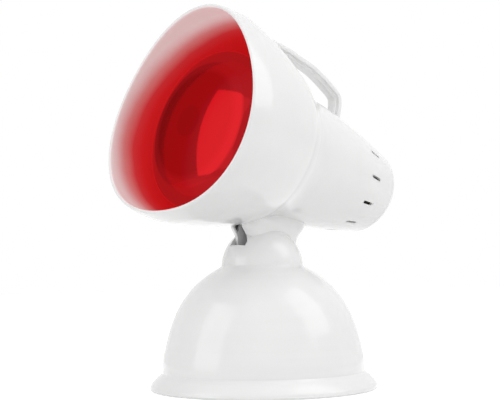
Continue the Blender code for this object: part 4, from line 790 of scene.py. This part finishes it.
def cut_vents(housing, lamp):
    """Slots through the wall, each at the front of a groove that runs out towards the back."""
    slot = rounded_rectangle(VENT_WIDTH, VENT_LENGTH, VENT_CORNER, 4)
    groove = rounded_rectangle(VENT_WIDTH, GROOVE_LENGTH, VENT_CORNER, 4)
    middle = VENT_BACK + 0.5 * (GROOVE_LENGTH - VENT_LENGTH)
    bed = barrel_radius(middle) - GROOVE_DEPTH
    radius = barrel_radius(VENT_BACK)
    for i in range(VENT_COUNT):
        turn = lamp @ Matrix.Rotation(-math.radians(360.0 * i / VENT_COUNT), 4, "Z")
        upright = Matrix.Rotation(math.radians(-90.0), 4, "X")
        place = turn @ Matrix.Translation((0.0, 0.0, -VENT_BACK)) @ upright
        cut(housing, prism("vent", slot, radius - 5 * BARREL_WALL, radius + 4 * BARREL_WALL, place))
        place = turn @ Matrix.Translation((0.0, 0.0, -middle)) @ upright
        cut(housing, prism("groove", groove, bed, radius + 4 * BARREL_WALL, place))


def make_housing():
    """The barrel with its rounded end and slots, its neck and tongue, built before the head tilts.

    The bosses, the columns and the bores for screws and tilt bolt are in the solid alone.
    """
    lamp = Matrix.Translation((0.0, -CREASE_FORWARD, AXIS_HEIGHT)) \
        @ Matrix.Rotation(math.radians(90.0), 4, "X")
    stations = [BARREL_SHOULDER * s / 24 for s in range(24)]
    stations += [BARREL_SHOULDER + (BARREL_LENGTH - BARREL_SHOULDER) * s
                 for s in (0.0, 0.08, 0.17, 0.27, 0.38, 0.5, 0.61, 0.71, 0.8, 0.87, 0.93, 0.97, 0.992)]
    stations = [CREASE_BLEND * s / 8 for s in range(8)] + [b for b in stations if b >= CREASE_BLEND]
    outer = [(0.0, 1.5 * MM), (outline_radius(0.0) - 2.0 * MM, 1.5 * MM),
             (outline_radius(0.0) - 0.4 * MM, 0.3 * MM)]
    outer += [(outline_radius(-b), -b) for b in stations]
    outer.append((0.0, -BARREL_LENGTH))
    housing = turned("housing_skin", outer, STEPS, lamp)
    join(housing, neck_loft("neck", 0.0))
    squeeze = (BARREL_LENGTH - BARREL_WALL) / BARREL_LENGTH
    inner = [(0.0, 2 * MM), (CREASE_RADIUS - BARREL_WALL, 2 * MM)]
    inner += [(barrel_radius(b) - BARREL_WALL, -b * squeeze) for b in stations
              if barrel_radius(b) > 3 * BARREL_WALL]
    inner.append((0.0, -BARREL_LENGTH + BARREL_WALL))
    cut(housing, turned("cavity", inner, STEPS, lamp))
    cut(housing, neck_loft("neck cavity", NECK_WALL, MM))
    cut_vents(housing, lamp)
    soften(housing, HOUSING_EDGE, 3, 50.0)
    cut(housing, hood_form(lamp))
    cut(housing, ball_room())
    join(housing, tongue())
    join(housing, tongue_root())
    cut(housing, tongue_gap())
    housing.data.transform(HEAD)
    return dress(housing, white, "head", ("rear_housing",), 40.0)


def handle_line():
    """The handle's outer line in the side view: forward of the crease, above the lamp's axis."""
    top, reach = HANDLE_HEIGHT, HANDLE_REACH
    points = [(HANDLE_FRONT + 3.0 * MM, top), (0.6 * HANDLE_FRONT, top), (0.10 * reach, top),
              (-0.12 * reach, top - 1.0 * MM), (-0.46 * reach, top - 3.1 * MM),
              (-0.80 * reach, top - 8.6 * MM), (-0.95 * reach, top - 12.6 * MM),
              (-0.995 * reach, top - 18.0 * MM), (-reach, top - 24.0 * MM),
              (-reach, barrel_radius(reach) - MM)]
    return curve_through(points, 10)


def make_handle():
    """A strap with rounded edges and a rib along its underside, swept along its side line."""
    line = handle_line()
    half, plate, rib_half, rib_deep = 0.5 * HANDLE_WIDTH, 2.9 * MM, 3.1 * MM, 4.7 * MM
    soft, fine = 0.9 * MM, 0.4 * MM
    section = arc((half - soft, soft), (soft, soft), -90.0, 0.0, 5)
    section += arc((half - fine, plate - fine), (fine, fine), 0.0, 90.0, 3)
    section += [(rib_half + fine, plate), (rib_half, plate + fine)]
    section += arc((rib_half - fine, rib_deep - fine), (fine, fine), 0.0, 90.0, 3)
    section = section + [(-x, y) for x, y in reversed(section)]
    bm = bmesh.new()
    rings = []
    for i, point in enumerate(line):
        before, after = Vector(line[max(i - 1, 0)]), Vector(line[min(i + 1, len(line) - 1)])
        along = (after - before).normalized()
        inward = Vector((-along.y, along.x))
        ring = []
        for x, depth in section:
            spot = Vector(point) + inward * depth
            ring.append(bm.verts.new((x, spot.y, spot.x)))
        rings.append(ring)
    skin_along(bm, rings)
    cap_ends(bm, rings)
    handle = to_object("handle_skin", bm, LAMP)
    cut(handle, hood_form(LAMP))
    return dress(handle, white, "head", ("carry_handle",), 40.0)


def make_bulb():
    """The bulb's glass, with a slightly domed face, a rounded edge and a tapered back."""
    axis = LAMP @ Matrix.Translation((0.0, -BULB_DROP, 0.0))
    face = BULB_FACE_FORWARD
    points = [(0.0, face)]
    for step in range(1, 31):
        radius = BULB_FACE_EDGE * step / 30
        sag = BULB_FACE_ROUND - math.sqrt(BULB_FACE_ROUND ** 2 - radius ** 2)
        points.append((radius, face - sag))
    last = points[-1]
    shoulder = [(out * BULB_RADIUS, last[1] - behind * MM) for out, behind in BULB_SHOULDER]
    points += curve_through([points[-2], last] + shoulder, 6)[7:]
    back = [(BULB_RADIUS * out, face - behind * BULB_LENGTH) for out, behind in BULB_BACK]
    points += curve_through([points[-1]] + back, 6)[1:]
    bulb = turned("bulb_skin", points + [(0.0, points[-1][1])], STEPS, axis)
    return dress(bulb, ruby, "head", ("bulb_glass",), 60.0)


make_base()
make_hood()
make_housing()
make_handle()
make_bulb()

# Solids that stay as they are, and their materials

carried = {
    "base_plate": white, "anti_slip_pad": rubber, "ballast_weight": iron, "cord_grommet": rubber,
    "terminal_block": ceramic, "switch_body": black, "switch_rocker": black, "tilt_bolt": steel,
    "tilt_nut": steel, "spring_washer": steel, "spacer_sleeve": steel, "friction_washer_left": nylon,
    "friction_washer_right": nylon, "holder_plate": steel, "lamp_holder": ceramic, "holder_shell": brass,
    "holder_contact": brass, "bulb_cap": aluminium, "bulb_insulator": black, "bulb_contact": aluminium,
    "bulb_stem": ruby, "bulb_filament": tungsten,
}
for name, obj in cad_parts.items():
    if name in carried:
        mat = carried[name]
    elif "screw" in name:
        mat = steel
    elif "lead" in name:
        mat = sleeve
    else:
        continue
    obj.data.materials.clear()
    obj.data.materials.append(mat)


# Floor, light and camera

def plane(name, size, place, mat):
    bm = bmesh.new()
    x, y = size[0] / 2, size[1] / 2
    bm.faces.new([bm.verts.new(p) for p in ((-x, -y, 0), (x, -y, 0), (x, y, 0), (-x, y, 0))])
    obj = to_object(name, bm, place)
    obj.data.materials.append(mat)
    return obj


def either(tree, first, second):
    """1 where one of two flags is 1."""
    made = node(tree, "ShaderNodeMath", operation="ADD", use_clamp=True)
    link(tree, first, made.inputs[0])
    link(tree, second, made.inputs[1])
    return made.outputs["Value"]


def seen_directly(tree, level=1.0):
    """The level for camera, glossy and transmission rays, and 0 for the rays that light the lamp."""
    path = node(tree, "ShaderNodeLightPath")
    indirect = either(tree, path.outputs["Is Glossy Ray"], path.outputs["Is Transmission Ray"])
    seen = either(tree, path.outputs["Is Camera Ray"], indirect)
    scaled = node(tree, "ShaderNodeMath", operation="MULTIPLY")
    scaled.inputs[1].default_value = level
    link(tree, seen, scaled.inputs[0])
    return scaled.outputs["Value"]


def stage_floor():
    """A white floor that takes the lamp's shade and looks white itself."""
    mat, tree, shader = nodes_of("floor_white")
    mottle = noise(tree, object_position(tree), 12.0)
    link(tree, ramp(tree, mottle, FLOOR_SHADES), shader.inputs["Base Color"])
    shader.inputs["Roughness"].default_value = 0.9
    shader.inputs["Specular IOR Level"].default_value = 0.1
    output = tree.nodes["Material Output"]
    glow_white = node(tree, "ShaderNodeEmission")
    glow_white.inputs["Color"].default_value = (1.0, 1.0, 1.0, 1.0)
    link(tree, seen_directly(tree, FLOOR_GLOW), glow_white.inputs["Strength"])
    both = node(tree, "ShaderNodeAddShader")
    link(tree, shader.outputs["BSDF"], both.inputs[0])
    link(tree, glow_white.outputs["Emission"], both.inputs[1])
    link(tree, both.outputs["Shader"], output.inputs["Surface"])
    plane("floor", (FLOOR_SIZE, FLOOR_SIZE), Matrix.Translation((0.0, 0.0, -FLOOR_DROP)), mat)


def from_camera(right, ahead, up):
    """A place given from the base's centre along the camera's right, away from it, and up."""
    c, s = math.cos(CAMERA_TURN), math.sin(CAMERA_TURN)
    return Vector((right * c - ahead * s, right * s + ahead * c, up))


def world_light():
    """A room that looks white and lights the lamp most from the camera's side and above."""
    world = bpy.data.worlds.new("studio")
    world.use_nodes = True
    tree = world.node_tree
    tree.nodes.clear()
    output = node(tree, "ShaderNodeOutputWorld")
    seen = node(tree, "ShaderNodeBackground")
    seen.inputs["Color"].default_value = (1.0, 1.0, 1.0, 1.0)
    seen.inputs["Strength"].default_value = 1.0
    lit = node(tree, "ShaderNodeBackground")
    lit.inputs["Strength"].default_value = ROOM_LEVEL
    coords = node(tree, "ShaderNodeTexCoord")
    facing = reach_along(tree, coords.outputs["Generated"], from_camera(*LIT_FROM).normalized())
    shade = ramp(tree, share_between(tree, facing, -1.0, 1.0), ROOM_SHADES)
    link(tree, shade, lit.inputs["Color"])
    mixed = node(tree, "ShaderNodeMixShader")
    link(tree, seen_directly(tree), mixed.inputs["Fac"])
    link(tree, lit.outputs["Background"], mixed.inputs[1])
    link(tree, seen.outputs["Background"], mixed.inputs[2])
    link(tree, mixed.outputs["Shader"], output.inputs["Surface"])
    bpy.context.scene.world = world


def softbox(name, turn, rise, distance, size, radiance, glossy):
    """A flat light seen from the lamp at a turn right of the camera's side and a rise above level."""
    turn, rise = math.radians(turn), math.radians(rise)
    level, up = distance * math.cos(rise), distance * math.sin(rise)
    place = LIGHTS_AIM + from_camera(level * math.sin(turn), -level * math.cos(turn), up)
    lamp = bpy.data.lights.new(name, "AREA")
    lamp.shape = "RECTANGLE"
    lamp.size, lamp.size_y = size
    lamp.energy = radiance * math.pi * size[0] * size[1]
    obj = bpy.data.objects.new(name, lamp)
    bpy.context.scene.collection.objects.link(obj)
    obj.location = place
    obj.rotation_euler = (place - LIGHTS_AIM).to_track_quat("Z", "Y").to_euler()
    obj.visible_glossy = glossy


def camera_axes():
    """The camera's right, up and backward directions before it turns about the lamp."""
    cp, sp = math.cos(CAMERA_PITCH), math.sin(CAMERA_PITCH)
    cy, sy = math.cos(CAMERA_YAW), math.sin(CAMERA_YAW)
    cr, sr = math.cos(CAMERA_ROLL), math.sin(CAMERA_ROLL)
    right = Vector((cy, -sy, 0.0))
    ahead = Vector((sy * cp, cy * cp, sp))
    above = Vector((-sy * sp, -cy * sp, cp))
    right, above = cr * right + sr * above, cr * above - sr * right
    return Matrix((right, above, -ahead)).transposed().to_4x4()


def make_camera():
    camera = bpy.data.cameras.new("camera")
    camera.sensor_fit = "HORIZONTAL"
    camera.sensor_width = SENSOR_WIDTH
    camera.lens = FOCAL_LENGTH_PIXELS * SENSOR_WIDTH / PHOTO_WIDTH_PIXELS
    camera.clip_start, camera.clip_end = 0.05, 20.0
    view = bpy.data.objects.new("camera", camera)
    bpy.context.scene.collection.objects.link(view)
    place = Matrix.Translation((0.0, -CAMERA_DISTANCE, CAMERA_HEIGHT))
    view.matrix_world = Matrix.Rotation(CAMERA_TURN, 4, "Z") @ place @ camera_axes()
    bpy.context.scene.camera = view


stage_floor()
world_light()
for light in LIGHTS:
    softbox(*light)
make_camera()
bpy.context.scene.view_settings.view_transform = "Standard"
